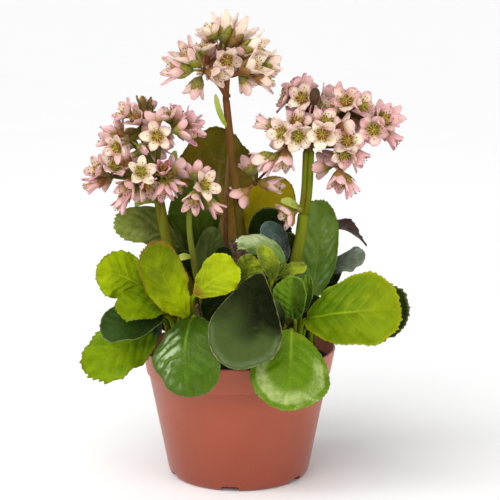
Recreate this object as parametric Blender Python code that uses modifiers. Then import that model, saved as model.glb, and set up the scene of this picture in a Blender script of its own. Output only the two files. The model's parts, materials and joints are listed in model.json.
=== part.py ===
"""A bergenia in flower, in its nursery pot.

The plant is a clump: three woody rhizomes stand in the soil, and the leaves and flower stems grow from
them and from the soil between them. Each leaf, flower stem and flower head is a piece of its own.

The tables below are in millimetres, and MM turns them into Blender's metres. +Z is up, the pot's
underside is at z = 0 under its centre, and -Y is the front.
"""

import math
import random

import bmesh
import bpy
import numpy as np
from mathutils import Vector

MM = 0.001
GAP = 0.3  # between pieces that touch

# Pot
POT_HEIGHT = 87.0
RIM_RADIUS = 65.0
BAND_HEIGHT = 17.0  # the thicker band below the rim
BAND_RADIUS = 62.0  # at the band's lower edge
BAND_STEP = 1.4  # how far the band stands out from the body
FOOT_RADIUS = 47.2
POT_WALL = 1.6
FLOOR_TOP = 4.0
FLOOR_RECESS = 2.0  # the ring of the underside that stands clear of the table
RECESS_RADII = (14.0, 40.5)
POT_STEPS = 30
NOTCHES = 6  # cut in the foot ring
NOTCH_WIDTH = 10.5
NOTCH_HEIGHT = 2.6
NOTCH_START = math.radians(-97)
DRAIN_HOLES = 5
DRAIN_RADIUS = 4.0
DRAIN_CIRCLE = 27.0

# Soil
SOIL_LEVEL = 78.0  # at the wall
SOIL_MOUND = 2.0  # higher at the middle
ROOT_DEPTH = 9.0  # how deep a soil-grown stalk stands

# Leaves
BLADE_THICKNESS = 0.8
TOOTH = 0.045  # rim teeth, as a share of the blade
WAVE_HEIGHT = 1.2
WAVES = 2.0
WIDE_LEAF = 36  # from this width on a blade gets a finer grid
SMALL_LEAF = 18  # up to this width it gets a coarser one
STALK_RADIUS = 1.9
STALK_SEED = 1.5  # how deep a stalk sits in its rhizome
MIDRIB_END = 0.25  # how far along the blade the stalk shows as a raised midrib
MIDRIB_SHARE = 0.5  # the midrib's radius there, as a share of the stalk's
FRAME_SAMPLES = 41

# Flowers
PETALS = 5
PEDICEL_RADIUS = 0.75
NODE_RADIUS = 1.9  # the swelling that a cluster's stalks grow from
MOUTH_HEIGHT = 5.5  # from the flower's base to what the reach is measured to
BRANCH_RADIUS = 1.5
GOLDEN_ANGLE = 137.5

# Colours, as linear RGB
TERRACOTTA = (0.41, 0.095, 0.055)
PEAT = (0.022, 0.014, 0.010)
BARK = (0.045, 0.026, 0.018)
LIME = (0.22, 0.35, 0.02)
YELLOW = (0.46, 0.52, 0.02)
OLIVE = (0.13, 0.15, 0.02)
GREEN = (0.06, 0.17, 0.03)
SHADE = (0.025, 0.06, 0.025)
DULL = (0.03, 0.055, 0.02)
PALE = (0.25, 0.33, 0.10)
GREY = (0.14, 0.20, 0.16)
BROWN = (0.07, 0.035, 0.025)
STALK = (0.16, 0.17, 0.04)
PETAL_PINK = (0.80, 0.50, 0.47)

# Woody rhizomes: foot, bend and top of the axis, and the radius
RHIZOMES = {
    "rhizome_left": ((-29, -6, 66), (-33, -9, 90), (-27, -8, 112), 6.3),
    "rhizome_centre": ((0, 10, 66), (-2, 13, 106), (2, 14, 146), 7.0),
    "rhizome_right": ((31, -4, 66), (37, -7, 90), (34, -4, 112), 6.3),
}

# Leaves: name, colour, foot, knee (where the blade begins), belly, tip, width, the way the upper face
# looks, cup in degrees (negative for a domed blade), and the width of the base half in percent.
# A foot is ("soil", x, y) or (rhizome, bearing in degrees from the front, height).
LEAVES = [
    ("left_low", LIME, ("soil", -48, -14),
     (-51, -26, 110), (-72, -38, 97), (-96, -48, 80), 38, (-3, -9, 5), 15, 50),
    ("left_dark", SHADE, ("soil", -42, -22),
     (-48, -38, 117), (-66, -48, 115), (-86, -56, 108), 30, (-1, -7, 7), 12, 50),
    ("left_spoon", LIME, ("rhizome_left", -60, 88),
     (-40, -33, 120), (-57, -43, 125), (-77, -54, 123), 24, (-1, -8, 6), 20, 35),
    ("left_fan", LIME, ("rhizome_left", -90, 100),
     (-57, -30, 128), (-71, -36, 140), (-90, -40, 146), 31, (-1, -9, 3), 15, 35),
    ("left_olive", OLIVE, ("rhizome_left", -30, 100),
     (-32, -40, 115), (-45, -50, 139), (-54, -50, 166), 28, (1, -9, 3), 22, 45),
    ("yellow", YELLOW, ("rhizome_left", 30, 94),
     (-28, -46, 131), (-14, -50, 143), (-1, -48, 151), 26, (2, -9, 4), 12, 40),
    ("front_left", GREEN, ("soil", -30, -30),
     (-29, -50, 118), (-33, -72, 100), (-30, -76, 72), 48, (-4, -8, 4), -18, 75),
    ("front_centre", DULL, ("soil", 4, -16),
     (15, -46, 146), (6, -70, 120), (2, -86, 93), 46, (-1, -9, 4), 16, 30),
    ("front_right", GREEN, ("soil", 36, -30),
     (34, -50, 109), (33, -72, 91), (32, -84, 66), 49, (1, -9, 4), -14, 60),
    ("right_lime", LIME, ("soil", 42, -22),
     (43, -35, 113), (70, -54, 122), (102, -60, 125), 51, (1, -8, 6), 12, 50),
    ("right_dark", SHADE, ("soil", 48, -8),
     (54, -14, 113), (83, -26, 116), (110, -36, 114), 46, (1, -6, 7), 12, 50),
    ("right_tall", GREEN, ("rhizome_right", 140, 90),
     (47, 4, 118), (53, 10, 147), (53, 15, 184), 32, (-2, -9, 1), 45, 60),
    ("right_edge", BROWN, ("rhizome_right", 180, 99),
     (54, 22, 157), (70, 27, 163), (87, 31, 150), 24, (2, -1, 9), 35, 50),
    ("right_grey", GREY, ("rhizome_right", 105, 84),
     (58, 18, 133), (72, 14, 141), (85, 8, 144), 22, (1, -5, 8), 10, 50),
    ("back_large", OLIVE, ("rhizome_centre", 200, 122),
     (-7, 34, 147), (-15, 46, 184), (-7, 48, 227), 58, (-2, -10, 1), 14, 50),
    ("back_yellow", OLIVE, ("rhizome_centre", 120, 116),
     (9, 22, 151), (19, 26, 174), (33, 28, 195), 34, (1, -9, 3), 12, 55),
    ("mid_dark", SHADE, ("rhizome_centre", 70, 122),
     (11, 10, 150), (20, 8, 163), (32, 8, 173), 30, (3, -9, 3), 10, 50),
    ("left_back", SHADE, ("rhizome_left", 180, 104),
     (-34, 12, 147), (-57, 10, 165), (-83, 4, 165), 31, (-1, -6, 7), 12, 50),
    ("serrate", SHADE, ("rhizome_left", 120, 98),
     (-23, 4, 127), (-21, 6, 146), (-16, 8, 166), 20, (3, -9, 1), 20, 60),
    ("pale_curl", PALE, ("rhizome_centre", 20, 112),
     (31, -22, 140), (21, -28, 159), (0, -30, 162), 19, (1, -7, 6), -25, 50),
    ("gloss_fold", SHADE, ("rhizome_centre", 50, 116),
     (31, -12, 146), (26, -14, 161), (15, -16, 169), 20, (3, -8, 5), -20, 50),
    ("yellow_curl", OLIVE, ("rhizome_right", -70, 94),
     (22, -43, 140), (20, -44, 151), (14, -42, 162), 12, (3, -9, 3), 15, 60),
    ("rolled_tip", PALE, ("rhizome_right", -20, 104),
     (21, -30, 139), (32, -31, 144), (44, -32, 147), 10, (-1, -7, 7), 10, 60),
    ("mid_green", GREEN, ("rhizome_centre", -20, 108),
     (3, -35, 135), (6, -37, 146), (11, -37, 154), 15, (1, -9, 4), 15, 50),
    ("mid_right", GREEN, ("rhizome_right", 0, 88),
     (36, -40, 114), (34, -44, 127), (34, -42, 142), 23, (-3, -8, 4), 35, 50),
    ("young", GREEN, ("rhizome_right", 30, 100),
     (41, -28, 115), (43, -31, 128), (44, -30, 141), 11, (0, -10, 1), 50, 70),
    ("small_dark", SHADE, ("soil", 18, -28),
     (30, -43, 111), (24, -51, 119), (17, -56, 123), 18, (-1, -8, 6), 15, 60),
    ("shadow_mid", SHADE, ("soil", -14, -24),
     (-22, -34, 112), (-14, -38, 124), (-5, -38, 132), 22, (1, -9, 4), -10, 60),
    ("core_dark", SHADE, ("rhizome_centre", 100, 104),
     (16, 6, 127), (20, 4, 142), (24, 3, 157), 25, (1, -9, 2), 8, 60),
    ("shadow_left", SHADE, ("rhizome_left", 150, 90),
     (-30, 6, 104), (-26, 15, 118), (-22, 18, 134), 28, (0, -9, 2), 10, 60),
    ("shadow_right", SHADE, ("rhizome_right", 250, 92),
     (28, 9, 104), (27, 17, 118), (24, 20, 132), 19, (0, -9, 2), 10, 60),
    ("behind_left", GREEN, ("soil", -34, 22),
     (-38, 36, 108), (-45, 58, 118), (-50, 82, 102), 44, (-2, 3, 9), 10, 50),
    ("behind_centre", SHADE, ("soil", -4, 36),
     (-4, 48, 104), (-6, 70, 106), (-6, 92, 78), 46, (0, 5, 8), -10, 60),
    ("behind_right", GREEN, ("soil", 32, 24),
     (38, 36, 110), (46, 58, 120), (52, 80, 104), 44, (2, 3, 9), 10, 50),
    ("behind_upper", OLIVE, ("rhizome_centre", 150, 110),
     (14, 46, 142), (20, 62, 160), (24, 76, 182), 34, (1, -7, 7), 12, 50),
    ("behind_small", GREEN, ("rhizome_centre", 230, 108),
     (-16, 42, 132), (-26, 58, 140), (-36, 72, 140), 28, (-2, -3, 9), 12, 50),
]

# Flower stems: the centre line from foot to top, and the radius at each end
SCAPES = {
    "left": ([(-26, -8, 106), (-28, -8, 120), (-34, -6, 131), (-41, -4, 143), (-47, -2, 157),
              (-51, 0, 176), (-53, 0, 188), (-54, 0, 199)], 4.0, 3.3),
    "small": ([(-18, -13, 70), (-20, -14, 98), (-24, -16, 122), (-28, -17, 140), (-30, -17, 153),
               (-32, -15, 168), (-32, -13, 183)], 2.2, 1.8),
    "centre": ([(2, 14, 140), (1, 14, 152), (-2, 11, 184), (-5, 6, 225), (-7, 4, 251)],
               3.7, 2.6),
    "right": ([(34, -4, 106), (34, -3, 122), (38, 0, 144), (41, 0, 159), (43, 0, 176), (45, 0, 192),
               (46, 0, 218)], 4.3, 3.2),
}

# Bracts on the stems: stem, foot, belly, tip, width and the way the upper face looks
BRACTS = [
    ("left", (-52, 0, 183), (-59, -3, 186), (-68, -5, 183), 8, (0, -6, 8)),
    ("left", (-51, 1, 186), (-46, 6, 202), (-42, 8, 218), 7, (-2, -9, 0)),
    ("small", (-30, -17, 150), (-35, -20, 151), (-41, -21, 148), 6, (0, -6, 8)),
    ("centre", (-7, 4, 233), (-12, 0, 243), (-15, -1, 256), 5, (3, -9, 0)),
    ("right", (41, 0, 180), (35, -5, 184), (28, -6, 186), 8, (1, -6, 7)),
]

# Flower heads. Each has branches, as (from, to), and clusters: a centre with its flowers, each with
# its kind, its bearing in degrees from the front, its elevation and its reach from the centre.
HEADS = {
    "left": {
        "trunk": (-54, 0, 206),
        "branches": [((-54, 0, 205), (-70, -3, 225)), ((-54, 0, 205), (-51, -7, 230)),
                     ((-70, -3, 225), (-63, 7, 235)), ((-54, 0, 204), (-67, -11, 202)),
                     ((-67, -11, 202), (-83, -4, 202)), ((-51, -7, 230), (-43, 6, 231)),
                     ((-54, 0, 206), (-49, -10, 203)), ((-54, 0, 206), (-64, 19, 218))],
        "clusters": [
            ((-63, 7, 235), [("cup", -67, 35, 16), ("bell", -27, 30, 9), ("tube", 134, 84, 9),
                             ("bud", 104, 66, 11)]),
            ((-70, -3, 225), [("bell", -82, 8, 15), ("open", -38, -12, 17), ("cup", -124, 26, 14),
                              ("bud", 46, -21, 13)]),
            ((-83, -4, 202), [("tube", -67, -19, 11), ("cup", -56, 25, 13), ("open", 21, 44, 13),
                              ("bell", -143, -16, 8)]),
            ((-67, -11, 202), [("open", 25, 25, 14), ("bell", -28, -27, 10), ("tube", -70, -59, 16),
                               ("cup", 51, -26, 12), ("bell", -164, -47, 12)]),
            ((-51, -7, 230), [("open", -7, -2, 13), ("cup", -144, 57, 11)]),
            ((-43, 6, 231), [("cup", -52, 66, 12), ("bell", 124, 70, 8), ("cup", 95, 31, 14),
                             ("tube", 61, -12, 9), ("bell", 102, 6, 13)]),
            ((-49, -10, 203), [("bell", 1, -59, 8), ("bud", 33, 15, 10), ("tube", 61, -31, 8),
                               ("tube", 3, 31, 8)]),
            ((-64, 19, 218), [("cup", -116, 19, 11), ("bell", 146, 60, 8), ("cup", 145, -14, 12),
                              ("bell", -133, -46, 8)]),
        ],
    },
    "small": {
        "trunk": (-28, -13, 195),
        "branches": [],
        "clusters": [
            ((-28, -13, 195), [("bell", -8, -43, 8), ("open", 40, 18, 13), ("tube", 83, -44, 15)]),
        ],
    },
    "centre": {
        "trunk": (-7, 2, 270),
        "branches": [((-7, 3, 253), (-22, -5, 271)), ((-7, 2, 268), (-10, 3, 280)),
                     ((-7, 2, 268), (-1, -3, 269)), ((-7, 2, 268), (-12, 15, 281))],
        "clusters": [
            ((-22, -5, 271), [("long", -65, 3, 16), ("long", -53, 38, 12), ("open", -103, 83, 16),
                              ("bell", 55, -14, 8)]),
            ((-10, 3, 280), [("cup", -73, 64, 19), ("long", 176, 74, 16), ("long", 122, 47, 15),
                             ("long", 74, 16, 19), ("open", 17, -16, 11)]),
            ((-1, -3, 269), [("long", 55, 22, 11), ("bell", 102, 14, 22), ("bell", 70, -10, 19),
                             ("cup", 132, -34, 10)]),
            ((-12, 15, 281), [("cup", -141, 11, 13), ("long", 150, 30, 10), ("cup", 132, -24, 14),
                              ("bell", -153, -41, 10)]),
        ],
    },
    "right": {
        "trunk": (47, 0, 226),
        "branches": [((47, 0, 225), (44, 5, 248)), ((47, 0, 225), (71, 3, 244)),
                     ((71, 3, 244), (90, 0, 236)), ((47, 0, 224), (36, -7, 231)),
                     ((47, 0, 225), (56, -10, 232)), ((47, 0, 222), (70, -3, 222)),
                     ((70, -3, 222), (67, -6, 208)), ((36, -7, 231), (32, -6, 221)),
                     ((32, -6, 221), (11, 7, 196)), ((47, 0, 225), (52, 18, 240)),
                     ((47, 0, 225), (76, 17, 232))],
        "clusters": [
            ((44, 5, 248), [("cup", -98, 62, 15), ("open", -85, 18, 16), ("open", -16, 29, 13),
                            ("bud", 33, 28, 9)]),
            ((71, 3, 244), [("cup", -137, 42, 15), ("open", -6, 39, 14), ("open", 47, 19, 16),
                            ("bell", -57, 21, 10)]),
            ((90, 0, 236), [("cup", 36, 23, 10), ("open", -12, -14, 13), ("tube", 79, -40, 11),
                            ("bell", 145, 37, 8)]),
            ((36, -7, 231), [("tube", -92, 17, 17), ("open", -41, 3, 14), ("cup", 18, 47, 11),
                             ("open", 13, -7, 13)]),
            ((56, -10, 232), [("cup", 6, 47, 10), ("open", -10, -4, 13), ("bell", -140, 44, 10)]),
            ((70, -3, 222), [("open", 5, 25, 12), ("cup", -7, -29, 10), ("bell", 67, -39, 10),
                             ("tube", 144, 29, 8)]),
            ((67, -6, 208), [("bell", -19, -53, 8), ("tube", 70, -63, 11)]),
            ((32, -6, 221), [("tube", -85, -40, 13), ("bell", -16, -56, 8), ("bell", -90, -25, 17)]),
            ((11, 7, 196), [("tube", 66, -3, 10)]),
            ((52, 18, 240), [("cup", -133, 11, 11), ("cup", 172, 39, 10), ("bell", 132, -9, 9),
                             ("cup", -154, -42, 12)]),
            ((76, 17, 232), [("bell", -152, 13, 8), ("cup", 159, 30, 11), ("cup", 133, -14, 13),
                             ("bell", -170, -56, 9)]),
        ],
    },
}
BACK_KINDS = ("cup", "tube", "bell")  # of the flowers added at the back

# Each kind of flower: (radius, height, half width) of a petal's blunt end, and (radius, height) of the
# petal's back at its middle
FLOWER_KINDS = {
    "open": ((8.4, 6.4, 4.6), (5.0, 3.9)),
    "cup": ((6.5, 9.2, 3.8), (4.9, 5.4)),
    "bell": ((5.0, 12.4, 3.0), (4.5, 7.0)),
    "tube": ((2.7, 13.5, 1.6), (3.6, 7.6)),
    "long": ((6.5, 17.5, 4.0), (4.8, 9.0)),
}
GAP_RING = (2.5, 3.3)  # radius and height of the notches between the petals
THROAT_HEIGHT = 2.7


def unit(vector):
    vector = np.asarray(vector, float)
    return vector / np.linalg.norm(vector)


def direction(bearing, elevation):
    """A unit vector from a bearing (0 to the front, 90 to the right) and an elevation, in degrees."""
    a, e = math.radians(bearing), math.radians(elevation)
    return np.array([math.sin(a) * math.cos(e), -math.cos(a) * math.cos(e), math.sin(e)])


def bezier(points, t):
    """A point of the Bezier curve with these control points."""
    points = [np.asarray(p, float) for p in points]
    while len(points) > 1:
        points = [(1 - t) * a + t * b for a, b in zip(points, points[1:])]
    return points[0]


def clear_scene():
    for obj in list(bpy.data.objects):
        bpy.data.objects.remove(obj, do_unlink=True)


def new_collection(name, parent, helper=False):
    collection = bpy.data.collections.new(name)
    parent.children.link(collection)
    collection.hide_render = helper
    return collection


def plastic_or_leaf(name, colour, roughness):
    """A Principled material in one colour."""
    material = bpy.data.materials.new(name)
    material.use_nodes = True
    shader = material.node_tree.nodes["Principled BSDF"]
    shader.inputs["Base Color"].default_value = (*colour, 1)
    shader.inputs["Roughness"].default_value = roughness
    shader.inputs["Metallic"].default_value = 0
    return material


def add_object(name, mesh, collection, origin=(0, 0, 0)):
    """Links a mesh given in world millimetres, as an object with its origin at a point."""
    origin = Vector(origin)
    for vertex in mesh.vertices:
        vertex.co = (vertex.co - origin) * MM
    obj = bpy.data.objects.new(name, mesh)
    obj.location = origin * MM
    collection.objects.link(obj)
    return obj


def add_helper(name, mesh, collection):
    """An object that only cuts or joins: out of the render, and drawn as wire."""
    obj = add_object(name, mesh, collection)
    obj.hide_render = True
    obj.display_type = "WIRE"
    return obj


def finish(obj, colour, roughness, parent):
    obj.data.materials.clear()
    obj.data.materials.append(plastic_or_leaf(obj.name, colour, roughness))
    obj.data.shade_smooth()
    obj.data.set_sharp_from_angle(angle=math.radians(40))
    obj.parent = parent


def bake(obj):
    """Applies the object's modifiers, by taking the evaluated mesh in place of its own."""
    bpy.context.view_layer.update()
    graph = bpy.context.evaluated_depsgraph_get()
    baked = bpy.data.meshes.new_from_object(obj.evaluated_get(graph))
    baked.name = obj.name
    obj.modifiers.clear()
    obj.data = baked


def fuse(obj, pieces):
    """One Boolean union of the object with a collection of pieces, which it then removes."""
    join = obj.modifiers.new("fuse", "BOOLEAN")
    join.operation = "UNION"
    join.operand_type = "COLLECTION"
    join.collection = pieces
    join.solver = "EXACT"
    bake(obj)
    for piece in list(pieces.objects):
        bpy.data.objects.remove(piece, do_unlink=True)
    bpy.data.collections.remove(pieces)


def carve(obj, cutters):
    cut = obj.modifiers.new("sockets", "BOOLEAN")
    cut.operation = "DIFFERENCE"
    cut.operand_type = "COLLECTION"
    cut.collection = cutters
    cut.solver = "EXACT"


def tube_mesh(name, points, radii, resolution=1):
    """A closed tube along the points, from a bevelled curve with 4, 6 or 8 sides for resolution 0, 1 or 2."""
    curve = bpy.data.curves.new(name, "CURVE")
    curve.dimensions = "3D"
    curve.bevel_depth = 1
    curve.bevel_resolution = resolution
    curve.use_fill_caps = True
    spline = curve.splines.new("POLY")
    spline.points.add(len(points) - 1)
    for knot, point, radius in zip(spline.points, points, radii):
        knot.co = (*point, 1)
        knot.radius = radius
    guide = bpy.data.objects.new(name, curve)
    bpy.context.scene.collection.objects.link(guide)
    bpy.context.view_layer.update()
    graph = bpy.context.evaluated_depsgraph_get()
    mesh = bpy.data.meshes.new_from_object(guide.evaluated_get(graph))
    bpy.data.objects.remove(guide, do_unlink=True)
    bpy.data.curves.remove(curve)
    bm = bmesh.new()
    bm.from_mesh(mesh)
    bmesh.ops.remove_doubles(bm, verts=bm.verts, dist=0.001)
    bmesh.ops.recalc_face_normals(bm, faces=bm.faces)
    bm.to_mesh(mesh)
    bm.free()
    return mesh


def longer(points, by):
    """The same line, carried on past its first point."""
    points = [np.asarray(p, float) for p in points]
    return [points[0] - unit(points[1] - points[0]) * by] + points[1:]


def turned_object(name, profile, collection):
    """A solid of revolution from (radius, height) points, top to bottom down the outside."""
    mesh = bpy.data.meshes.new(name)
    points = [(r, 0, z) for r, z in profile]
    mesh.from_pydata(points, [(i, i + 1) for i in range(len(points) - 1)], [])
    obj = add_object(name, mesh, collection)
    screw = obj.modifiers.new("turn", "SCREW")
    screw.steps = POT_STEPS
    screw.render_steps = POT_STEPS
    screw.use_merge_vertices = True
    screw.merge_threshold = 0.00001
    return obj


def wall_radius(height):
    """Outer radius of the pot's body below the band."""
    top = BAND_RADIUS - BAND_STEP
    share = height / (POT_HEIGHT - BAND_HEIGHT)
    return FOOT_RADIUS + (top - FOOT_RADIUS) * share


def pot(collection, cutters):
    band_foot = POT_HEIGHT - BAND_HEIGHT
    disc, ring = RECESS_RADII
    profile = [
        (0, FLOOR_TOP),
        (wall_radius(FLOOR_TOP) - POT_WALL - 1.2, FLOOR_TOP),
        (wall_radius(FLOOR_TOP + 1.5) - POT_WALL, FLOOR_TOP + 1.5),
        (wall_radius(band_foot) - POT_WALL, band_foot),
        (BAND_RADIUS - POT_WALL, band_foot + 1.5),
        (RIM_RADIUS - POT_WALL, POT_HEIGHT - 0.6),
        (RIM_RADIUS - POT_WALL + 0.5, POT_HEIGHT),
        (RIM_RADIUS - 0.5, POT_HEIGHT),
        (RIM_RADIUS, POT_HEIGHT - 0.8),
        (BAND_RADIUS, band_foot + 0.4),
        (BAND_RADIUS - 0.4, band_foot),
        (wall_radius(band_foot), band_foot - 0.3),
        (wall_radius(4.5), 4.5),
        (wall_radius(1.2) - 0.8, 1.2),
        (wall_radius(0) - 2.2, 0),
        (ring + 0.5, 0),
        (ring, FLOOR_RECESS),
        (disc + 0.5, FLOOR_RECESS),
        (disc, 0),
        (0, 0),
    ]
    obj = turned_object("pot", profile, collection)
    for i in range(NOTCHES):
        angle = NOTCH_START + math.tau * i / NOTCHES
        bpy.ops.mesh.primitive_cube_add(size=1)
        cutter = bpy.context.object
        cutter.name = f"foot_notch_{i}"
        cutter.scale = (14 * MM, NOTCH_WIDTH * MM, 2 * NOTCH_HEIGHT * MM)
        cutter.location = (math.cos(angle) * FOOT_RADIUS * MM, math.sin(angle) * FOOT_RADIUS * MM, 0)
        cutter.rotation_euler.z = angle
        move_to(cutter, cutters)
    for i in range(DRAIN_HOLES):
        angle = math.tau * i / DRAIN_HOLES
        bpy.ops.mesh.primitive_cylinder_add(vertices=8, radius=DRAIN_RADIUS * MM, depth=4 * FLOOR_TOP * MM)
        cutter = bpy.context.object
        cutter.name = f"drain_hole_{i}"
        cutter.location = (math.cos(angle) * DRAIN_CIRCLE * MM, math.sin(angle) * DRAIN_CIRCLE * MM, 0)
        move_to(cutter, cutters)
    carve(obj, cutters)
    return obj


def move_to(obj, collection):
    for other in list(obj.users_collection):
        other.objects.unlink(obj)
    collection.objects.link(obj)
    obj.hide_render = True
    obj.display_type = "WIRE"


def soil(collection):
    floor = FLOOR_TOP + GAP
    inside = POT_WALL + GAP
    band_foot = POT_HEIGHT - BAND_HEIGHT
    top_radius = BAND_RADIUS + (RIM_RADIUS - BAND_RADIUS) * (SOIL_LEVEL - band_foot) / BAND_HEIGHT
    profile = [
        (0, SOIL_LEVEL + SOIL_MOUND),
        (0.5 * top_radius, SOIL_LEVEL + 0.75 * SOIL_MOUND),
        (top_radius - inside - 2, SOIL_LEVEL),
        (top_radius - inside - 0.3, SOIL_LEVEL - 1.5),
        (BAND_RADIUS - inside - 0.3, band_foot + 1.5),
        (wall_radius(band_foot) - inside, band_foot - 0.5),
        (wall_radius(floor) - inside - 1.6, floor),
        (0, floor),
    ]
    return turned_object("soil", profile, collection)


def rhizome_line(name):
    foot, bend, top, _ = RHIZOMES[name]
    return [bezier((foot, bend, top), i / 5) for i in range(6)]


def rhizome_radii(name, grow=0.0):
    """Ringed with old leaf scars, and a little narrower at the top."""
    radius = RHIZOMES[name][3]
    return [radius * (1.0 - 0.03 * i + (0.06 if i % 2 else -0.02)) + grow for i in range(6)]


def rhizome_point(name, height):
    """The point of a rhizome's axis at a height."""
    foot, bend, top, _ = RHIZOMES[name]
    heights = [bezier((foot, bend, top), i / 20)[2] for i in range(21)]
    return bezier((foot, bend, top), float(np.interp(height, heights, np.linspace(0, 1, 21))))


class Leaf:
    """The shape of one leaf: a midrib that bends through three points, and a blade that cups round it."""

    def __init__(self, foot, knee, belly, tip, width, face, cup, base_width):
        self.knee, self.tip = np.array(knee, float), np.array(tip, float)
        self.bend = 2 * np.array(belly, float) - (self.knee + self.tip) / 2
        self.half = width / 2
        self.cup = math.radians(cup)
        self.base_width = base_width / 100
        self.foot, self.start = self.root(foot)
        self.samples = np.linspace(0, 1, FRAME_SAMPLES)
        self.up, self.side = self.frames(unit(face))
        across = np.linspace(-1, 1, 101)
        self.widest = (np.sqrt(1 - across**2) * self.narrowing(across)).max()

    def root(self, foot):
        """Where the stalk begins, and the way it leaves."""
        if foot[0] == "soil":
            start = np.array([foot[1], foot[2], SOIL_LEVEL - ROOT_DEPTH + SOIL_MOUND], float)
            lean = unit(self.knee - start)
            return start, unit(lean + (0, 0, 1.2))
        name, bearing, height = foot
        out = direction(bearing, 0)
        radius = RHIZOMES[name][3] * 0.9 - STALK_SEED
        return rhizome_point(name, height) + out * radius, unit(out + (0, 0, 0.5))

    def point(self, s):
        """A point of the midrib, which runs on straight past both ends."""
        inside = min(max(s, 0), 1)
        return bezier((self.knee, self.bend, self.tip), inside) + self.slope(s) * (s - inside)

    def slope(self, s):
        s = min(max(s, 0), 1)
        return 2 * (1 - s) * (self.bend - self.knee) + 2 * s * (self.tip - self.bend)

    def frames(self, face):
        """The upward and sideways directions along the midrib, carried from the belly without twist."""
        along = [unit(self.slope(s)) for s in self.samples]
        up = [None] * FRAME_SAMPLES
        middle = FRAME_SAMPLES // 2
        up[middle] = unit(face - along[middle] * (face @ along[middle]))
        for i in range(middle + 1, FRAME_SAMPLES):
            up[i] = unit(up[i - 1] - along[i] * (up[i - 1] @ along[i]))
        for i in range(middle - 1, -1, -1):
            up[i] = unit(up[i + 1] - along[i] * (up[i + 1] @ along[i]))
        return np.array(up), np.cross(along, up)

    def frame(self, s):
        return [
            unit([np.interp(s, self.samples, table[:, k]) for k in range(3)])
            for table in (self.up, self.side)
        ]

    def narrowing(self, x):
        """Makes the half of the blade nearer the stalk narrower: x runs from -1 at the base to 1."""
        return 1 - (1 - self.base_width) * ((1 - np.clip(x, -1, 1)) / 2) ** 1.5

    def surface(self, x, y):
        """The blade's middle surface, for a point of the unit disc."""
        s = (1 + x) / 2
        across = y * self.narrowing(x) / self.widest
        angle = across * self.cup
        sideways = self.half / self.cup * math.sin(angle)
        lift = self.half / self.cup * (1 - math.cos(angle))
        phase = 0.25 if y > 0 else -0.25
        lift += self.wave_height() * across * across * math.sin(math.tau * (WAVES * s + phase))
        up, side = self.frame(s)
        return self.point(s) + side * sideways + up * lift

    def wave_height(self):
        return WAVE_HEIGHT * min(1.0, self.half / 15)

    def stalk(self):
        """The stalk's centre line, which runs on under the blade as its midrib, and its radii."""
        length = np.linalg.norm(self.knee - self.foot)
        radius = STALK_RADIUS * (0.7 if self.half < 12 else 1.0)
        up, _ = self.frame(0)
        end = self.knee - up * radius * 0.8
        handles = (
            self.foot,
            self.foot + self.start * length * 0.35,
            end - unit(self.slope(0)) * length * 0.25,
            end,
        )
        points = [bezier(handles, i / 4) for i in range(5)]
        radii = [radius * (1 - 0.2 * i / 4) for i in range(5)]
        up, _ = self.frame(MIDRIB_END)
        points.append(self.point(MIDRIB_END) - up * radius * MIDRIB_SHARE)
        radii.append(radius * MIDRIB_SHARE)
        return points, radii


def blade_mesh(name, leaf, columns, rows):
    """A grid drawn out to a round blade with a toothed rim."""
    bm = bmesh.new()
    bmesh.ops.create_grid(bm, x_segments=columns, y_segments=rows, size=1)
    for vertex in bm.verts:
        u, v = vertex.co.x, vertex.co.y
        x, y = u * math.sqrt(1 - v * v / 2), v * math.sqrt(1 - u * u / 2)
        on_rim = max(abs(u), abs(v)) > 0.999
        if on_rim and x > -0.8:
            step = round((u + 1) * columns / 2) + round((v + 1) * rows / 2)
            grow = 1 + TOOTH * (1 if step % 2 else -0.3)
            x, y = x * grow, y * grow
        vertex.co = leaf.surface(x, y)
    bmesh.ops.triangulate(bm, faces=bm.faces)
    mesh = bpy.data.meshes.new(name)
    bm.to_mesh(mesh)
    bm.free()
    return mesh


def add_blade(name, leaf, columns, rows, collection, origin):
    obj = add_object(name, blade_mesh(name, leaf, columns, rows), collection, origin)
    shell = obj.modifiers.new("thickness", "SOLIDIFY")
    shell.thickness = BLADE_THICKNESS * MM
    shell.offset = 0
    return obj


def leaf_piece(row, collection, scene, sockets):
    """One leaf from its row of the table, and the cutter of its socket in the soil or the rhizome."""
    name, colour, foot, knee, belly, tip, width, face, cup, base_width = row
    leaf = Leaf(foot, knee, belly, tip, width, face, cup, base_width)
    wide, small = width >= WIDE_LEAF, width <= SMALL_LEAF
    grid = (8, 4) if wide else (4, 2) if small else (6, 4)
    obj = add_blade("leaf_" + name, leaf, *grid, collection, leaf.foot)
    points, radii = leaf.stalk()
    pieces = new_collection("fusing", scene)
    add_object("stalk", tube_mesh("stalk", points, radii, 1 if wide else 0), pieces)
    fuse(obj, pieces)
    fat = [radius + GAP + 0.05 for radius in radii[:5]]
    add_helper("socket_" + name, tube_mesh("socket", longer(points[:5], GAP), fat), sockets[foot[0]])
    return obj, colour


def scape_piece(name, collection, scene, sockets):
    """A flower stem with its bracts, and the cutter of its socket."""
    points, low, high = SCAPES[name]
    radii = np.linspace(low, high, len(points))
    obj = add_object("scape_" + name, tube_mesh(name, points, radii, 2), collection, points[0])
    pieces = new_collection("fusing", scene)
    for stem, foot, belly, tip, width, face in BRACTS:
        if stem == name:
            leaf = Leaf(("soil", foot[0], foot[1]), foot, belly, tip, width, face, 25, 70)
            bract = add_blade("bract", leaf, 4, 2, pieces, foot)
            bake(bract)
    fuse(obj, pieces)
    host = "soil" if points[0][2] < SOIL_LEVEL else "rhizome_" + name
    fat = [radius + GAP + 0.05 for radius in radii]
    add_helper("socket_scape_" + name, tube_mesh("socket", longer(points, GAP), fat, 2), sockets[host])
    return obj


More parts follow.
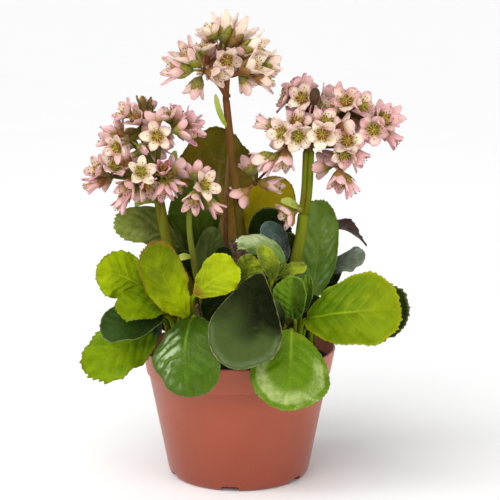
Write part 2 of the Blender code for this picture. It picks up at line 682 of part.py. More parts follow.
def ring(bm, centre, axes, radius, offset, count=PETALS):
    """Vertices in a circle round a centre, the first one at the offset angle."""
    across, over = axes
    angles = [offset + math.tau * k / count for k in range(count)]
    return [bm.verts.new(centre + radius * (across * math.cos(a) + over * math.sin(a))) for a in angles]


def join_rings(bm, first, second):
    for k in range(len(first)):
        after = (k + 1) % len(first)
        bm.faces.new((first[k], first[after], second[after], second[k]))


def flower_frame(axis, roll):
    aside = (0, 0, 1) if abs(axis[2]) < 0.9 else (1, 0, 0)
    across = unit(np.cross(axis, aside))
    over = np.cross(axis, across)
    return (
        across * math.cos(roll) + over * math.sin(roll),
        over * math.cos(roll) - across * math.sin(roll),
    )


def flower_mesh(hub, axis, reach, kind, roll):
    """A flower on its stalk as one closed loft: stalk, calyx, then five petals round a throat."""
    bm = bmesh.new()
    hub = np.asarray(hub, float)
    base = hub + axis * max(reach - MOUTH_HEIGHT, 3.0)
    axes = flower_frame(axis, roll)
    half = math.pi / PETALS
    foot = ring(bm, hub - axis * 0.6, axes, PEDICEL_RADIUS, half)
    neck = ring(bm, base - axis * 0.6, axes, PEDICEL_RADIUS, half)
    bm.faces.new(list(reversed(foot)))
    join_rings(bm, foot, neck)
    if kind == "bud":
        belly = ring(bm, base + axis * 3.4, axes, 2.2, half)
        top = bm.verts.new(base + axis * 7.5)
        join_rings(bm, neck, belly)
        for k in range(PETALS):
            bm.faces.new((belly[k], belly[(k + 1) % PETALS], top))
    else:
        add_petals(bm, base, axis, axes, neck, kind)
    bmesh.ops.triangulate(bm, faces=bm.faces)
    bmesh.ops.recalc_face_normals(bm, faces=bm.faces)
    mesh = bpy.data.meshes.new("flower")
    bm.to_mesh(mesh)
    bm.free()
    return mesh


def add_petals(bm, base, axis, axes, neck, kind):
    """Five petals that meet at the throat, each with a blunt end and a full back."""
    (end_radius, end_height, half_width), (back_radius, back_height) = FLOWER_KINDS[kind]
    notches = ring(bm, base + axis * GAP_RING[1], axes, GAP_RING[0], math.pi / PETALS)
    throat = bm.verts.new(base + axis * THROAT_HEIGHT)
    for k in range(PETALS):
        angle = math.tau * k / PETALS
        out = axes[0] * math.cos(angle) + axes[1] * math.sin(angle)
        side = axes[1] * math.cos(angle) - axes[0] * math.sin(angle)

        def place(radius, height, aside):
            return bm.verts.new(base + out * radius + axis * height + side * aside)

        low, high = notches[k - 1], notches[k]
        blunt_end = [place(end_radius, end_height, aside) for aside in (-half_width, half_width)]
        rim = [low, *blunt_end, high]
        back = place(back_radius, back_height, 0)
        for a, b in zip(rim, rim[1:]):
            bm.faces.new((back, a, b))
            bm.faces.new((throat, b, a))
        bm.faces.new((back, neck[k], neck[k - 1]))
        bm.faces.new((back, neck[k - 1], low))
        bm.faces.new((back, high, neck[k]))


def node_mesh(hub):
    bm = bmesh.new()
    bmesh.ops.create_icosphere(bm, subdivisions=1, radius=NODE_RADIUS)
    bmesh.ops.translate(bm, verts=bm.verts, vec=hub)
    mesh = bpy.data.meshes.new("node")
    bm.to_mesh(mesh)
    bm.free()
    return mesh


def cluster_flowers(number, flowers):
    """The flowers of a cluster as written, with one more at the back of every second cluster."""
    if number % 2:
        return flowers
    kind = BACK_KINDS[number % len(BACK_KINDS)]
    bearing = 180 + 50 * math.sin(math.radians(GOLDEN_ANGLE * number))
    elevation = 10 + 30 * math.cos(math.radians(GOLDEN_ANGLE * number))
    return flowers + [(kind, bearing, elevation, 14)]


def head_piece(name, collection, scene, draw):
    """A flower head: a short trunk, its branches and all its flowers, joined in one body."""
    head = HEADS[name]
    line, _, radius = SCAPES[name]
    top = np.array(line[-1], float)
    way = unit(top - np.array(line[-2], float))
    trunk = [top + way * GAP, top + way * 2.5, np.array(head["trunk"], float)]
    mesh = tube_mesh("flowers_" + name, trunk, (radius, radius, radius * 0.8), 2)
    obj = add_object("flowers_" + name, mesh, collection, top)
    pieces = new_collection("fusing", scene)
    for start, end in head["branches"]:
        bend = (np.array(start) + np.array(end)) / 2 + (0, 0, -1.5)
        line = [bezier((start, bend, end), t) for t in (0, 0.5, 1)]
        add_object("branch", tube_mesh("branch", line, (BRANCH_RADIUS,) * 3), pieces)
    for number, (hub, flowers) in enumerate(head["clusters"]):
        add_object("node", node_mesh(hub), pieces)
        for kind, bearing, elevation, reach in cluster_flowers(number, flowers):
            axis = direction(bearing, elevation)
            roll = draw.uniform(0, math.tau)
            add_object("flower", flower_mesh(hub, axis, reach, kind, roll), pieces)
    fuse(obj, pieces)
    return obj


def main():
    clear_scene()
    scene = bpy.context.scene.collection
    parts = new_collection("potted_bergenia", scene)
    cutters = new_collection("cutters", scene, helper=True)
    sockets = {name: new_collection("sockets_" + name, cutters, True) for name in ("soil", *RHIZOMES)}
    base = bpy.data.objects.new("bergenia", None)
    parts.objects.link(base)

    finish(pot(parts, new_collection("pot_cutters", cutters, True)), TERRACOTTA, 0.45, base)
    bed = soil(parts)
    finish(bed, PEAT, 0.95, base)
    for name in RHIZOMES:
        line = rhizome_line(name)
        wood = add_object(name, tube_mesh(name, line, rhizome_radii(name), 2), parts, line[0])
        finish(wood, BARK, 0.9, base)
        fat = rhizome_radii(name, GAP + 0.05)
        add_helper("socket_" + name, tube_mesh("socket", longer(line, GAP), fat, 2), sockets["soil"])
    for row in LEAVES:
        obj, colour = leaf_piece(row, parts, scene, sockets)
        finish(obj, colour, 0.4, base)
    for name in SCAPES:
        finish(scape_piece(name, parts, scene, sockets), STALK, 0.5, base)
    for name in RHIZOMES:
        carve(bpy.data.objects[name], sockets[name])
    carve(bed, sockets["soil"])
    draw = random.Random(7)
    for name in HEADS:
        finish(head_piece(name, parts, scene, draw), PETAL_PINK, 0.6, base)


main()
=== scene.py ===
"""The looks of the potted bergenia: fine leaves, flowers, stems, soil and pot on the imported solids.

The tables repeat the ones that the solids are made from, in millimetres, so every piece lies where its
solid does. MM turns them into Blender's metres.
"""

import json
import math
import random

import bmesh
import bpy
import numpy as np
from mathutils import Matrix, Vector

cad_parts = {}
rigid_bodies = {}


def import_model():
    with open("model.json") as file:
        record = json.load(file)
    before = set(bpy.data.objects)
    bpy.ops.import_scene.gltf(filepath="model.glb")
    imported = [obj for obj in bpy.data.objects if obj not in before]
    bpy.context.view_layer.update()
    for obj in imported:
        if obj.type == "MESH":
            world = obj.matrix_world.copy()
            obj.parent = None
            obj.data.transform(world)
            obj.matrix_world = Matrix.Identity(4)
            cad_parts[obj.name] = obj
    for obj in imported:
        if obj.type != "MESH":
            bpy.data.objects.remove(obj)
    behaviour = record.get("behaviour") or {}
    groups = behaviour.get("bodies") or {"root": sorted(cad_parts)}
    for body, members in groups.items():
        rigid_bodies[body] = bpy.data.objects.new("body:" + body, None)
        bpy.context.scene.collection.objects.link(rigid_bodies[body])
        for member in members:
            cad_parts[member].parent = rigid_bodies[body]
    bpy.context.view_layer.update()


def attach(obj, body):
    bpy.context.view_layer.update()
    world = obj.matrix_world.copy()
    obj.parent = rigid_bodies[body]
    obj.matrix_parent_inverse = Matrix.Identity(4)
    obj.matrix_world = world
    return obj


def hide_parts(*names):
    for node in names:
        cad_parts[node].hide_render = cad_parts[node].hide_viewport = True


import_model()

MM = 0.001

# Pot
POT_HEIGHT = 87.0
RIM_RADIUS = 65.0
BAND_HEIGHT = 17.0
BAND_FOOT = POT_HEIGHT - BAND_HEIGHT
BAND_RADIUS = 62.0
BAND_STEP = 1.4
FOOT_RADIUS = 47.2
POT_WALL = 1.6
FLOOR_TOP = 4.0
FLOOR_RECESS = 2.0
RECESS_RADII = (14.0, 40.5)
POT_STEPS = 144
NOTCHES = 6
NOTCH_WIDTH = 12.0
NOTCH_HEIGHT = 3.6
NOTCH_BEARING = -7.0  # of the first one, in degrees from the front
DRAIN_HOLES = 5
DRAIN_RADIUS = 4.0
DRAIN_CIRCLE = 27.0
SHARP_ANGLE = math.radians(35)

# Soil
GAP = 0.3
SOIL_LEVEL = 78.0
SOIL_MOUND = 2.0
SOIL_SIDES = 120
CRUMBS = 900
ROOT_DEPTH = 9.0

# Leaves
BLADE_THICKNESS = 0.75
RIM_THICKNESS = 0.4
TOOTH = 0.05
WAVE_HEIGHT = 1.2
WAVES = 2.0
STALK_RADIUS = 1.9
STALK_SEED = 1.5
STALK_SIDES = 10
MIDRIB_END = 0.86
VEINS = 6.5  # side veins along the midrib
VEIN_SWEEP = 2.3  # how far they lean to the tip
FRAMES = 41  # places along the midrib where the blade's directions are kept
SCALE_THICKNESS = 0.4
GAP_TEETH = 16

# Flowers
PETALS = 5
PETAL_THICKNESS = 0.24
SEPAL_THICKNESS = 0.3
STAMENS = 10
NODE_RADIUS = 1.9
MOUTH_HEIGHT = 5.5
GOLDEN_ANGLE = 137.5
FILLERS = {"left": 1, "small": 0, "centre": 1, "right": 1}  # flowers added to each cluster
FILLER_TRIES = 90
FILLER_ROOM = math.radians(38)  # the least angle between an added flower and its neighbours
SLIM = {"left": 0.76, "small": 0.76, "centre": 0.85, "right": 0.92}  # how wide the petals are
BRANCH_BENDS = {"left": (0.5, 0.5, 0.5), "small": (0.5, 0.5, 0.5), "centre": (0.35, 0.35, 0.7),
                "right": (0.5, 0.5, 0.5)}
LOW_BRANCH, LOW_BRANCH_BELOW = 0.6, 200  # branches that end below this height are thinner
FORK = 26  # the step where the right flower stem splits
BRANCH_SIZES = {"left": 1.0, "small": 1.0, "centre": 1.3, "right": 1.05}
CALYX_SIZES = {"open": 1.05, "cup": 1.25, "bell": 1.35, "tube": 1.3, "long": 1.65, "bud": 1.15}

# Studio
CAMERA_PLACE = (0.0076, -0.9272, 0.3182)
CAMERA_DOWN = 10.16  # degrees below level
CAMERA_LENS = 101.8
FLOOR_RADIUS = 200.0
SUN_WAY = (0.45, 0.75, -0.9)
AIM = (0, 0, 0.15)


def srgb(red, green, blue):
    """Linear RGB from the values 0 to 255 of a picture."""
    shares = [c / 255 for c in (red, green, blue)]
    return tuple(c / 12.92 if c <= 0.04045 else ((c + 0.055) / 1.055) ** 2.4 for c in shares)


# What every leaf look starts from. A share says how strongly a colour shows, from 0 to 1.
PLAIN = {
    "rough": 0.42, "spec": 0.2, "tint": (0.8, 1.0, 0.4),  # roughness, level and tint of the gloss
    "quilt": 0.35,  # depth in mm of the quilting between the veins
    "ruffle": 0.035, "scallop": 0.0, "tooth": 1.0,  # the rim: its waves, its lobes and its teeth
    "vein_share": 0.25, "mottle": 0.35,
    "midrib_share": 0.35, "midrib": 1.0, "midrib_end": 0.85,  # the pale midrib, its width and its end
    "patch_share": 0.4, "patch_reach": 0.24,  # the patch where the blade leaves its stalk; painted shade on the glossy and dull looks
    "rim_share": 0.5, "rim_at": 0.94,
    "wander": 1.1,  # how far clouds shift the bounds between colours
    "half": None,  # (side, colour, share): one half of the blade, side 1 or -1, in another colour; painted shade on the dull and cup looks
    "half_edge": (-0.1, 0.4), "half_reach": 3.0,  # where it blends over, and how far it goes to the tip
    "streaks": None,  # (side, colour, share): painted gloss highlights, pale between the side veins of one half
    "band": None,  # (colour, share, inner radius, start along the blade, grain): a painted sheen, a pale band inside the rim standing in for a gloss reflection
    "band_end": 0.9,
}


def leaf_look(near, far, vein, rim, back, patch, **settings):
    """A leaf look: its colours as a picture shows them, and what differs from PLAIN.

    The upper face is near at the stalk and far at the tip, and back is the underside."""
    colours = {"near": near, "far": far, "vein": vein, "rim": rim, "back": back, "patch": patch}
    return {**PLAIN, **{name: srgb(*colour) for name, colour in colours.items()}, **settings}


LOOKS = {
    "lime": leaf_look((64, 98, 2), (106, 130, 1), (140, 166, 14), (112, 98, 8), (104, 126, 30),
        (46, 52, 50), quilt=0.5, ruffle=0.06, patch_share=0.95, spec=0.12, vein_share=0.4,
        patch_reach=0.38, scallop=0.045, tooth=1.3),
    "lime_deep": leaf_look((72, 104, 2), (104, 124, 1), (142, 168, 14), (104, 80, 10), (104, 126, 36),
        (130, 148, 30), quilt=0.7, spec=0.12, vein_share=0.4, tooth=1.1, rim_at=0.96, scallop=0.02),
    "bract": leaf_look((136, 150, 44), (164, 172, 84), (180, 188, 110), (150, 140, 80), (140, 150, 70),
        (120, 120, 50), spec=0.1, tooth=0.3, quilt=0.15),
    "fan": leaf_look((100, 128, 4), (136, 154, 2), (176, 192, 40), (112, 70, 16), (104, 126, 36),
        (160, 178, 40), quilt=0.6, vein_share=0.55, rim_share=0.7, spec=0.1, ruffle=0.09, rim_at=0.96,
        midrib_share=0.6, scallop=0.02),
    "lime_wide": leaf_look((72, 106, 2), (112, 126, 3), (146, 166, 20), (160, 150, 10), (112, 134, 40),
        (112, 136, 4), quilt=1.0, vein_share=0.42, spec=0.14, tooth=0.9, midrib_share=0.7,
        half=(1, srgb(104, 126, 2), 0.6), ruffle=0.05, mottle=0.25),
    "yellow": leaf_look((128, 144, 3), (148, 162, 1), (184, 194, 16), (186, 184, 12), (160, 166, 50),
        (124, 86, 30), patch_share=0.85, ruffle=0.1, vein_share=0.4, quilt=0.6, tooth=0.9, scallop=0.025),
    "olive": leaf_look((146, 164, 2), (84, 98, 2), (140, 156, 14), (132, 70, 36), (120, 130, 40),
        (146, 164, 6), quilt=0.9, rim_share=0.6, ruffle=0.11, spec=0.1, vein_share=0.45, midrib_share=0.5,
        scallop=0.03),
    "back": leaf_look((140, 104, 24), (78, 72, 1), (150, 122, 84), (56, 52, 2), (96, 90, 36),
        (110, 84, 50), spec=0.15, midrib_share=0.85, midrib=1.3, vein_share=0.3, tooth=0.3, scallop=0.02),
    "back_warm": leaf_look((178, 166, 8), (160, 140, 12), (146, 132, 12), (88, 64, 6), (120, 112, 40),
        (120, 110, 10), spec=0.15, tooth=0.4, vein_share=0.35, midrib_share=0.6),
    # Front left leaf: painted gloss highlights between the veins of one half (streaks), and painted shade
    # in the dark patch by the stalk.
    "glossy": leaf_look((40, 68, 3), (56, 84, 8), (132, 164, 40), (120, 140, 90), (90, 112, 66),
        (34, 52, 8), rough=0.3, spec=0.28, tint=(0.8, 1, 0.35), quilt=0.5, vein_share=0.16, tooth=0.25,
        midrib_share=0.6, midrib=1.3, rim_share=0.4, rim_at=0.97, streaks=(1, srgb(172, 190, 150), 0.7),
        midrib_end=0.55, patch_share=0.75, patch_reach=0.34),
    # Front centre leaf: painted shade darkens its top by the stalk and one half (half), and a painted pale
    # sheen lies inside its lower rim (band).
    "dull": leaf_look((20, 24, 10), (66, 80, 38), (60, 72, 36), (150, 146, 96), (90, 104, 70),
        (30, 34, 14), rough=0.5, quilt=0.2, rim_share=0.6, vein_share=0.06, mottle=0.1, spec=0.03,
        tooth=0.2, rim_at=0.965, half=(-1, srgb(7, 9, 4), 0.92),
        band=(srgb(120, 134, 104), 0.6, 0.8, 0.55, 0.3), midrib_share=0.05, half_reach=0.5,
        half_edge=(-0.55, 0.35), wander=0.5),
    # Front right leaf: a painted pale reflection band inside its lower rim (band).
    "bright": leaf_look((80, 114, 3), (78, 110, 4), (146, 172, 40), (132, 152, 60), (112, 138, 70),
        (140, 160, 30), rough=0.24, spec=0.3, tint=(0.9, 1, 0.4), vein_share=0.12, tooth=0.55,
        rim_at=0.965, band=(srgb(170, 182, 118), 0.62, 0.52, 0.22, 0.55), midrib_share=0.55, midrib=1.5,
        midrib_end=0.6, band_end=0.84),
    # Painted gloss highlights on one half (streaks).
    "green": leaf_look((68, 98, 12), (88, 114, 26), (112, 140, 50), (84, 110, 30), (96, 120, 70),
        (90, 116, 30), spec=0.3, tint=(0.9, 1, 0.8), midrib=1.2, tooth=0.7, quilt=0.5,
        streaks=(1, srgb(140, 164, 116), 0.5), vein_share=0.35),
    # Painted shade: one half (half) dark, as the shaded side of the fold.
    "cup": leaf_look((44, 74, 4), (84, 114, 8), (112, 146, 30), (120, 150, 60), (104, 130, 66),
        (60, 84, 20), spec=0.25, quilt=0.7, tooth=1.2, ruffle=0.07, half=(1, srgb(34, 50, 8), 0.7)),
    "shade": leaf_look((14, 24, 5), (28, 38, 10), (54, 70, 30), (112, 116, 66), (66, 84, 50),
        (26, 34, 12), spec=0.04, tooth=0.8),
    "serrate": leaf_look((62, 76, 28), (84, 96, 44), (70, 84, 42), (90, 100, 56), (66, 84, 50),
        (30, 38, 16), spec=0.3),
    "left_shade": leaf_look((24, 38, 8), (38, 60, 10), (66, 88, 34), (130, 146, 70), (70, 88, 54),
        (40, 50, 30), spec=0.14, rim_share=0.6, tint=(0.8, 1, 0.7), tooth=0.5, rim_at=0.96),
    # Painted highlights: pale streaks on one half where its folds catch the light.
    "streaked": leaf_look((34, 50, 2), (118, 128, 54), (132, 140, 80), (104, 120, 20), (84, 100, 50),
        (50, 62, 10), quilt=0.7, vein_share=0.5, streaks=(-1, srgb(150, 158, 96), 0.5)),
    # Painted sheen: the pale grey-green towards the tip and the pale streaks stand in for gloss on the
    # curled face.
    "pale": leaf_look((78, 108, 12), (160, 170, 124), (104, 128, 56), (170, 182, 120), (130, 144, 84),
        (84, 116, 14), rough=0.34, spec=0.35, quilt=0.9, tint=(1, 1, 1),
        streaks=(1, srgb(214, 220, 190), 0.4), tooth=2.0, half=(-1, srgb(92, 122, 30), 0.75),
        vein_share=0.6, patch_share=0.9, patch_reach=0.95, ruffle=0.12),
    "curl": leaf_look((58, 74, 6), (134, 146, 26), (130, 138, 30), (164, 156, 80), (130, 140, 60),
        (70, 80, 12), ruffle=0.13, rim_share=0.55, quilt=0.9, rim_at=0.95, tooth=1.6, vein_share=0.45,
        patch_reach=0.45, half=(-1, srgb(58, 72, 22), 0.6)),
    # Painted highlight: the dark face lightens towards the tip.
    "blue": leaf_look((6, 13, 8), (56, 74, 66), (64, 82, 70), (90, 108, 96), (70, 88, 74), (30, 40, 30),
        rough=0.16, spec=0.3, quilt=0.2, vein_share=0.05, tint=(1, 1, 1), tooth=0.4),
    # Partly the leaf's own green and partly a painted grey sheen of reflected light.
    "grey": leaf_look((76, 90, 66), (112, 124, 102), (100, 112, 92), (60, 74, 50), (80, 94, 74),
        (50, 60, 40), rough=0.34, spec=0.5, tint=(1, 1, 1), tooth=0.5),
    "left_back_right": leaf_look((42, 58, 4), (62, 78, 12), (84, 102, 40), (90, 104, 40), (70, 86, 40),
        (34, 46, 6), spec=0.08, tooth=0.6, vein_share=0.35),
    "brown": leaf_look((48, 34, 20), (56, 38, 30), (80, 58, 46), (70, 48, 38), (74, 54, 44), (50, 40, 24),
        rough=0.5, tint=(1, 0.9, 0.8)),
}

# Stems and branches: colour at the foot, colour at the top, and the red that streaks them
STEMS = {
    "leaf_stalk": ((84, 98, 12), (112, 138, 14), (104, 66, 28)),
    "rosy_stalk": ((104, 72, 34), (138, 112, 76), (146, 108, 88)),
    "scape_left": ((60, 58, 4), (112, 124, 30), (110, 70, 34)),
    "scape_small": ((74, 80, 12), (104, 120, 40), (110, 70, 34)),
    "scape_centre": ((86, 92, 22), (112, 68, 38), (98, 62, 36)),
    "scape_right": ((88, 94, 6), (108, 122, 26), (110, 70, 34)),
    "branch_left": ((80, 92, 26), (74, 66, 30), (92, 52, 34)),
    "branch_small": ((90, 84, 26), (110, 62, 34), (110, 52, 34)),
    "branch_centre": ((108, 66, 40), (112, 74, 42), (100, 52, 36)),
    "branch_right": ((84, 76, 26), (74, 44, 34), (70, 36, 34)),
}

# Mottled surfaces: three colours, scale of the patches, roughness, strength and depth of the relief
MOTTLED = {
    "filament": ((220, 194, 82), (204, 146, 72), (230, 208, 130), 500, 0.5, 0.5, 0.4),
    "anther": ((44, 30, 34), (66, 40, 40), (30, 22, 26), 900, 0.6, 0.5, 0.4),
    "pistil": ((172, 176, 34), (140, 152, 26), (192, 194, 70), 500, 0.4, 0.5, 0.4),
    "bark": ((58, 40, 28), (36, 25, 20), (86, 64, 44), 240, 0.85, 0.9, 0.9),
    "dry_scale": ((122, 90, 60), (72, 48, 34), (206, 180, 150), 260, 0.7, 0.5, 0.4),
    "peat": ((40, 28, 22), (24, 17, 14), (74, 54, 40), 300, 0.95, 1.0, 1.2),
}

# Rhizomes: foot, bend, top and radius
RHIZOMES = {
    "rhizome_left": ((-29, -6, 66), (-33, -9, 90), (-27, -8, 112), 6.3),
    "rhizome_centre": ((0, 10, 66), (-2, 13, 106), (2, 14, 146), 7.0),
    "rhizome_right": ((31, -4, 66), (37, -7, 90), (34, -4, 112), 6.3),
}

# Leaves: name, look, record slot, foot, knee, belly, tip, width, face, cup, base width, teeth. The foot is
# (soil, x, y) or (rhizome, bearing, height), the midrib bends from knee past belly to tip, face is the way
# the middle of the blade faces, cup is in degrees, and the base width in percent of the width.
LEAVES = [
    ("left_low", "lime", "leaf_lime", ("soil", -48, -14),
     (-51, -26, 110), (-72, -38, 97), (-96, -48, 80), 38, (-3, -9, 5), 15, 50, 26),
    ("left_dark", "left_shade", "leaf_dark", ("soil", -42, -22),
     (-48, -38, 117), (-66, -48, 115), (-86, -56, 108), 30, (-1, -7, 7), 12, 50, 20),
    ("left_spoon", "lime_deep", "leaf_lime", ("rhizome_left", -60, 88),
     (-40, -33, 120), (-57, -43, 125), (-77, -54, 123), 24, (-1, -8, 6), 20, 35, 20),
    ("left_fan", "fan", "leaf_lime", ("rhizome_left", -90, 100),
     (-57, -30, 128), (-71, -36, 140), (-90, -40, 146), 31, (-1, -9, 3), 15, 35, 26),
    ("left_olive", "olive", "leaf_olive", ("rhizome_left", -30, 100),
     (-32, -40, 115), (-45, -50, 139), (-54, -50, 166), 28, (1, -9, 3), 22, 45, 36),
    ("yellow", "yellow", "leaf_lime", ("rhizome_left", 30, 94),
     (-28, -46, 131), (-14, -50, 143), (-1, -48, 151), 26, (2, -9, 4), 12, 40, 34),
    ("front_left", "glossy", "leaf_green", ("soil", -30, -30),
     (-29, -50, 118), (-33, -72, 100), (-30, -76, 72), 48, (-4, -8, 4), -18, 75, 30),
    ("front_centre", "dull", "leaf_dark", ("soil", 4, -16),
     (15, -46, 146), (6, -70, 120), (2, -86, 93), 46, (-1, -9, 4), 16, 30, 30),
    ("front_right", "bright", "leaf_green", ("soil", 36, -30),
     (34, -50, 109), (33, -72, 91), (32, -84, 66), 49, (1, -9, 4), -14, 60, 32),
    ("right_lime", "lime_wide", "leaf_lime", ("soil", 42, -22),
     (43, -35, 113), (70, -54, 122), (102, -60, 125), 51, (1, -8, 6), 12, 50, 38),
    ("right_dark", "shade", "leaf_dark", ("soil", 48, -8),
     (54, -14, 113), (83, -26, 116), (110, -36, 114), 46, (1, -6, 7), 12, 50, 28),
    ("right_tall", "green", "leaf_green", ("rhizome_right", 140, 90),
     (47, 4, 118), (53, 10, 147), (53, 15, 184), 32, (-2, -9, 1), 45, 60, 30),
    ("right_edge", "brown", "leaf_brown", ("rhizome_right", 180, 99),
     (54, 22, 157), (70, 27, 163), (87, 31, 150), 24, (2, -1, 9), 35, 50, 18),
    ("right_grey", "grey", "leaf_dark", ("rhizome_right", 105, 84),
     (58, 18, 133), (72, 14, 141), (85, 8, 144), 22, (1, -5, 8), 10, 50, 16),
    ("back_large", "back", "leaf_olive", ("rhizome_centre", 200, 122),
     (-7, 34, 147), (-15, 46, 184), (-7, 48, 227), 58, (-2, -10, 1), 14, 50, 34),
    ("back_yellow", "back_warm", "leaf_olive", ("rhizome_centre", 120, 116),
     (9, 22, 151), (19, 26, 174), (33, 28, 195), 34, (1, -9, 3), 12, 55, 26),
    ("mid_dark", "shade", "leaf_dark", ("rhizome_centre", 70, 122),
     (11, 10, 150), (20, 8, 163), (32, 8, 173), 30, (3, -9, 3), 10, 50, 30),
    ("left_back", "streaked", "leaf_dark", ("rhizome_left", 180, 104),
     (-34, 12, 147), (-57, 10, 165), (-83, 4, 165), 31, (-1, -6, 7), 12, 50, 20),
    ("serrate", "serrate", "leaf_dark", ("rhizome_left", 120, 98),
     (-23, 4, 127), (-21, 6, 146), (-16, 8, 166), 20, (3, -9, 1), 20, 60, 20),
    ("pale_curl", "pale", "leaf_green", ("rhizome_centre", 20, 112),
     (31, -22, 140), (21, -28, 159), (0, -30, 162), 17, (1, -7, 6), -50, 50, 24),
    ("gloss_fold", "blue", "leaf_dark", ("rhizome_centre", 50, 116),
     (31, -12, 146), (26, -14, 161), (15, -16, 169), 20, (3, -8, 5), -20, 50, 14),
    ("yellow_curl", "curl", "leaf_olive", ("rhizome_right", -70, 94),
     (22, -43, 140), (20, -44, 151), (14, -42, 162), 12, (3, -9, 3), 15, 60, 12),
    ("rolled_tip", "curl", "leaf_green", ("rhizome_right", -20, 104),
     (21, -30, 139), (32, -31, 144), (44, -32, 147), 10, (-1, -7, 7), 10, 60, 14),
    ("mid_green", "curl", "leaf_green", ("rhizome_centre", -20, 108),
     (3, -35, 135), (6, -37, 146), (11, -37, 154), 15, (1, -9, 4), 15, 50, 14),
    ("mid_right", "cup", "leaf_green", ("rhizome_right", 0, 88),
     (36, -40, 114), (34, -44, 127), (34, -42, 142), 23, (-3, -8, 4), 35, 50, 30),
    ("young", "cup", "leaf_green", ("rhizome_right", 30, 100),
     (41, -28, 115), (43, -31, 128), (44, -30, 141), 11, (0, -10, 1), 50, 70, 10),
    ("small_dark", "dull", "leaf_dark", ("soil", 18, -28),
     (30, -43, 111), (24, -51, 119), (17, -56, 123), 18, (-1, -8, 6), 15, 60, 14),
    ("shadow_mid", "shade", "leaf_dark", ("soil", -14, -24),
     (-22, -34, 112), (-14, -38, 124), (-5, -38, 132), 22, (1, -9, 4), -10, 60, 16),
    ("core_dark", "shade", "leaf_dark", ("rhizome_centre", 100, 104),
     (16, 6, 127), (20, 4, 142), (24, 3, 157), 25, (1, -9, 2), 8, 60, 24),
    ("shadow_left", "shade", "leaf_dark", ("rhizome_left", 150, 90),
     (-30, 6, 104), (-26, 15, 118), (-22, 18, 134), 28, (0, -9, 2), 10, 60, 24),
    ("shadow_right", "shade", "leaf_dark", ("rhizome_right", 250, 92),
     (28, 9, 104), (27, 17, 118), (24, 20, 132), 19, (0, -9, 2), 10, 60, 24),
    ("behind_left", "green", "leaf_green", ("soil", -34, 22),
     (-38, 36, 108), (-45, 58, 118), (-50, 82, 102), 44, (-2, 3, 9), 10, 50, 30),
    ("behind_centre", "glossy", "leaf_dark", ("soil", -4, 36),
     (-4, 48, 104), (-6, 70, 106), (-6, 92, 78), 46, (0, 5, 8), -10, 60, 30),
    ("behind_right", "lime_deep", "leaf_green", ("soil", 32, 24),
     (38, 36, 110), (46, 58, 120), (52, 80, 104), 44, (2, 3, 9), 10, 50, 30),
    ("behind_upper", "olive", "leaf_olive", ("rhizome_centre", 150, 110),
     (14, 46, 142), (20, 62, 160), (24, 76, 182), 34, (1, -7, 7), 12, 50, 26),
    ("behind_small", "green", "leaf_green", ("rhizome_centre", 230, 108),
     (-16, 42, 132), (-26, 58, 140), (-36, 72, 140), 28, (-2, -3, 9), 12, 50, 22),
]

# More dark leaves deep in the clump, each part of the piece of the dark leaf beside it: number of the
# material in that piece, then foot to base width as above. On material 0 they are dark sheets in painted
# shade, put in gaps where there is only shade; on material 2 it is a leaf's dark green half behind the left
# stems.
GAP_LEAVES = {
    "shadow_left": [
        (0, ("soil", -44, 0), (-43, -6, 97), (-47, -8, 109), (-51, -7, 122), 20, (-1, -9, 3), 10, 70),
        (2, ("rhizome_left", 165, 100), (-27, 15, 150), (-29, 19, 172), (-37, 19, 192), 36, (0, -9, 2), 12,
         60)],
    "core_dark": [
        (0, ("rhizome_left", 190, 104), (-33, 3, 124), (-36, 4, 138), (-38, 4, 151), 17, (0, -9, 2), 10,
         70),
        (0, ("rhizome_centre", 60, 104), (32, 4, 134), (33, 2, 150), (34, 0, 164), 13, (0, -9, 2), 10, 70),
        (0, ("rhizome_centre", 250, 100), (-9, 3, 132), (-10, 3, 144), (-12, 3, 154), 13, (0, -9, 2), 10,
         70)],
    "shadow_right": [
        (0, ("soil", 42, 2), (43, -2, 90), (45, -4, 102), (47, -4, 113), 17, (1, -9, 3), 10, 70),
        (0, ("soil", 40, -12), (44, -18, 102), (47, -20, 113), (50, -21, 126), 16, (1, -9, 3), 10, 70),
        (0, ("soil", 50, 18), (58, 22, 117), (62, 24, 130), (66, 26, 142), 15, (1, -9, 3), 10, 70)],
}

# The rosy stalk and midrib that stand in front of the large leaf at the back
ROSY_STALK = [(-9, 20, 147), (-9, 28, 172), (-8, 36, 199), (-6, 42, 220)]

SCALES = {"rhizome_left": 16, "rhizome_centre": 30, "rhizome_right": 16}  # dry scales at their tops

# Flower stems: points from the crown up, and the radius at the foot and at the top
SCAPES = {
    "left": ([(-26, -8, 106), (-28, -8, 120), (-34, -6, 131), (-41, -4, 143), (-47, -2, 157),
              (-51, 0, 176), (-53, 0, 188), (-54, 0, 199)], 4.0, 3.3),
    "small": ([(-18, -13, 70), (-20, -14, 98), (-24, -16, 122), (-28, -17, 140), (-30, -17, 153),
               (-32, -15, 168), (-32, -13, 183)], 2.2, 1.8),
    "centre": ([(3, 14, 140), (2.5, 14, 152), (-1, 11, 184), (-5.5, 6, 225), (-8, 4, 251)],
               3.5, 2.3),
    "right": ([(34, -4, 106), (34, -3, 122), (38, 0, 144), (41, 0, 159), (43, 0, 176), (45, 0, 192),
               (46, 0, 218)], 4.3, 3.2),
}

# Bracts: stem, foot, belly, tip, width, face
BRACTS = [
    ("left", (-52, 0, 183), (-59, -3, 186), (-68, -5, 183), 8, (0, -6, 8)),
    ("left", (-51, 1, 186), (-46, 6, 202), (-42, 8, 218), 7, (-2, -9, 0)),
    ("small", (-30, -17, 150), (-35, -20, 151), (-41, -21, 148), 6, (0, -6, 8)),
    ("centre", (-7, 4, 233), (-12, 0, 243), (-15, -1, 256), 3.8, (3, -9, 0)),
    ("right", (41, 0, 180), (35, -5, 184), (28, -6, 186), 8, (1, -6, 7)),
]

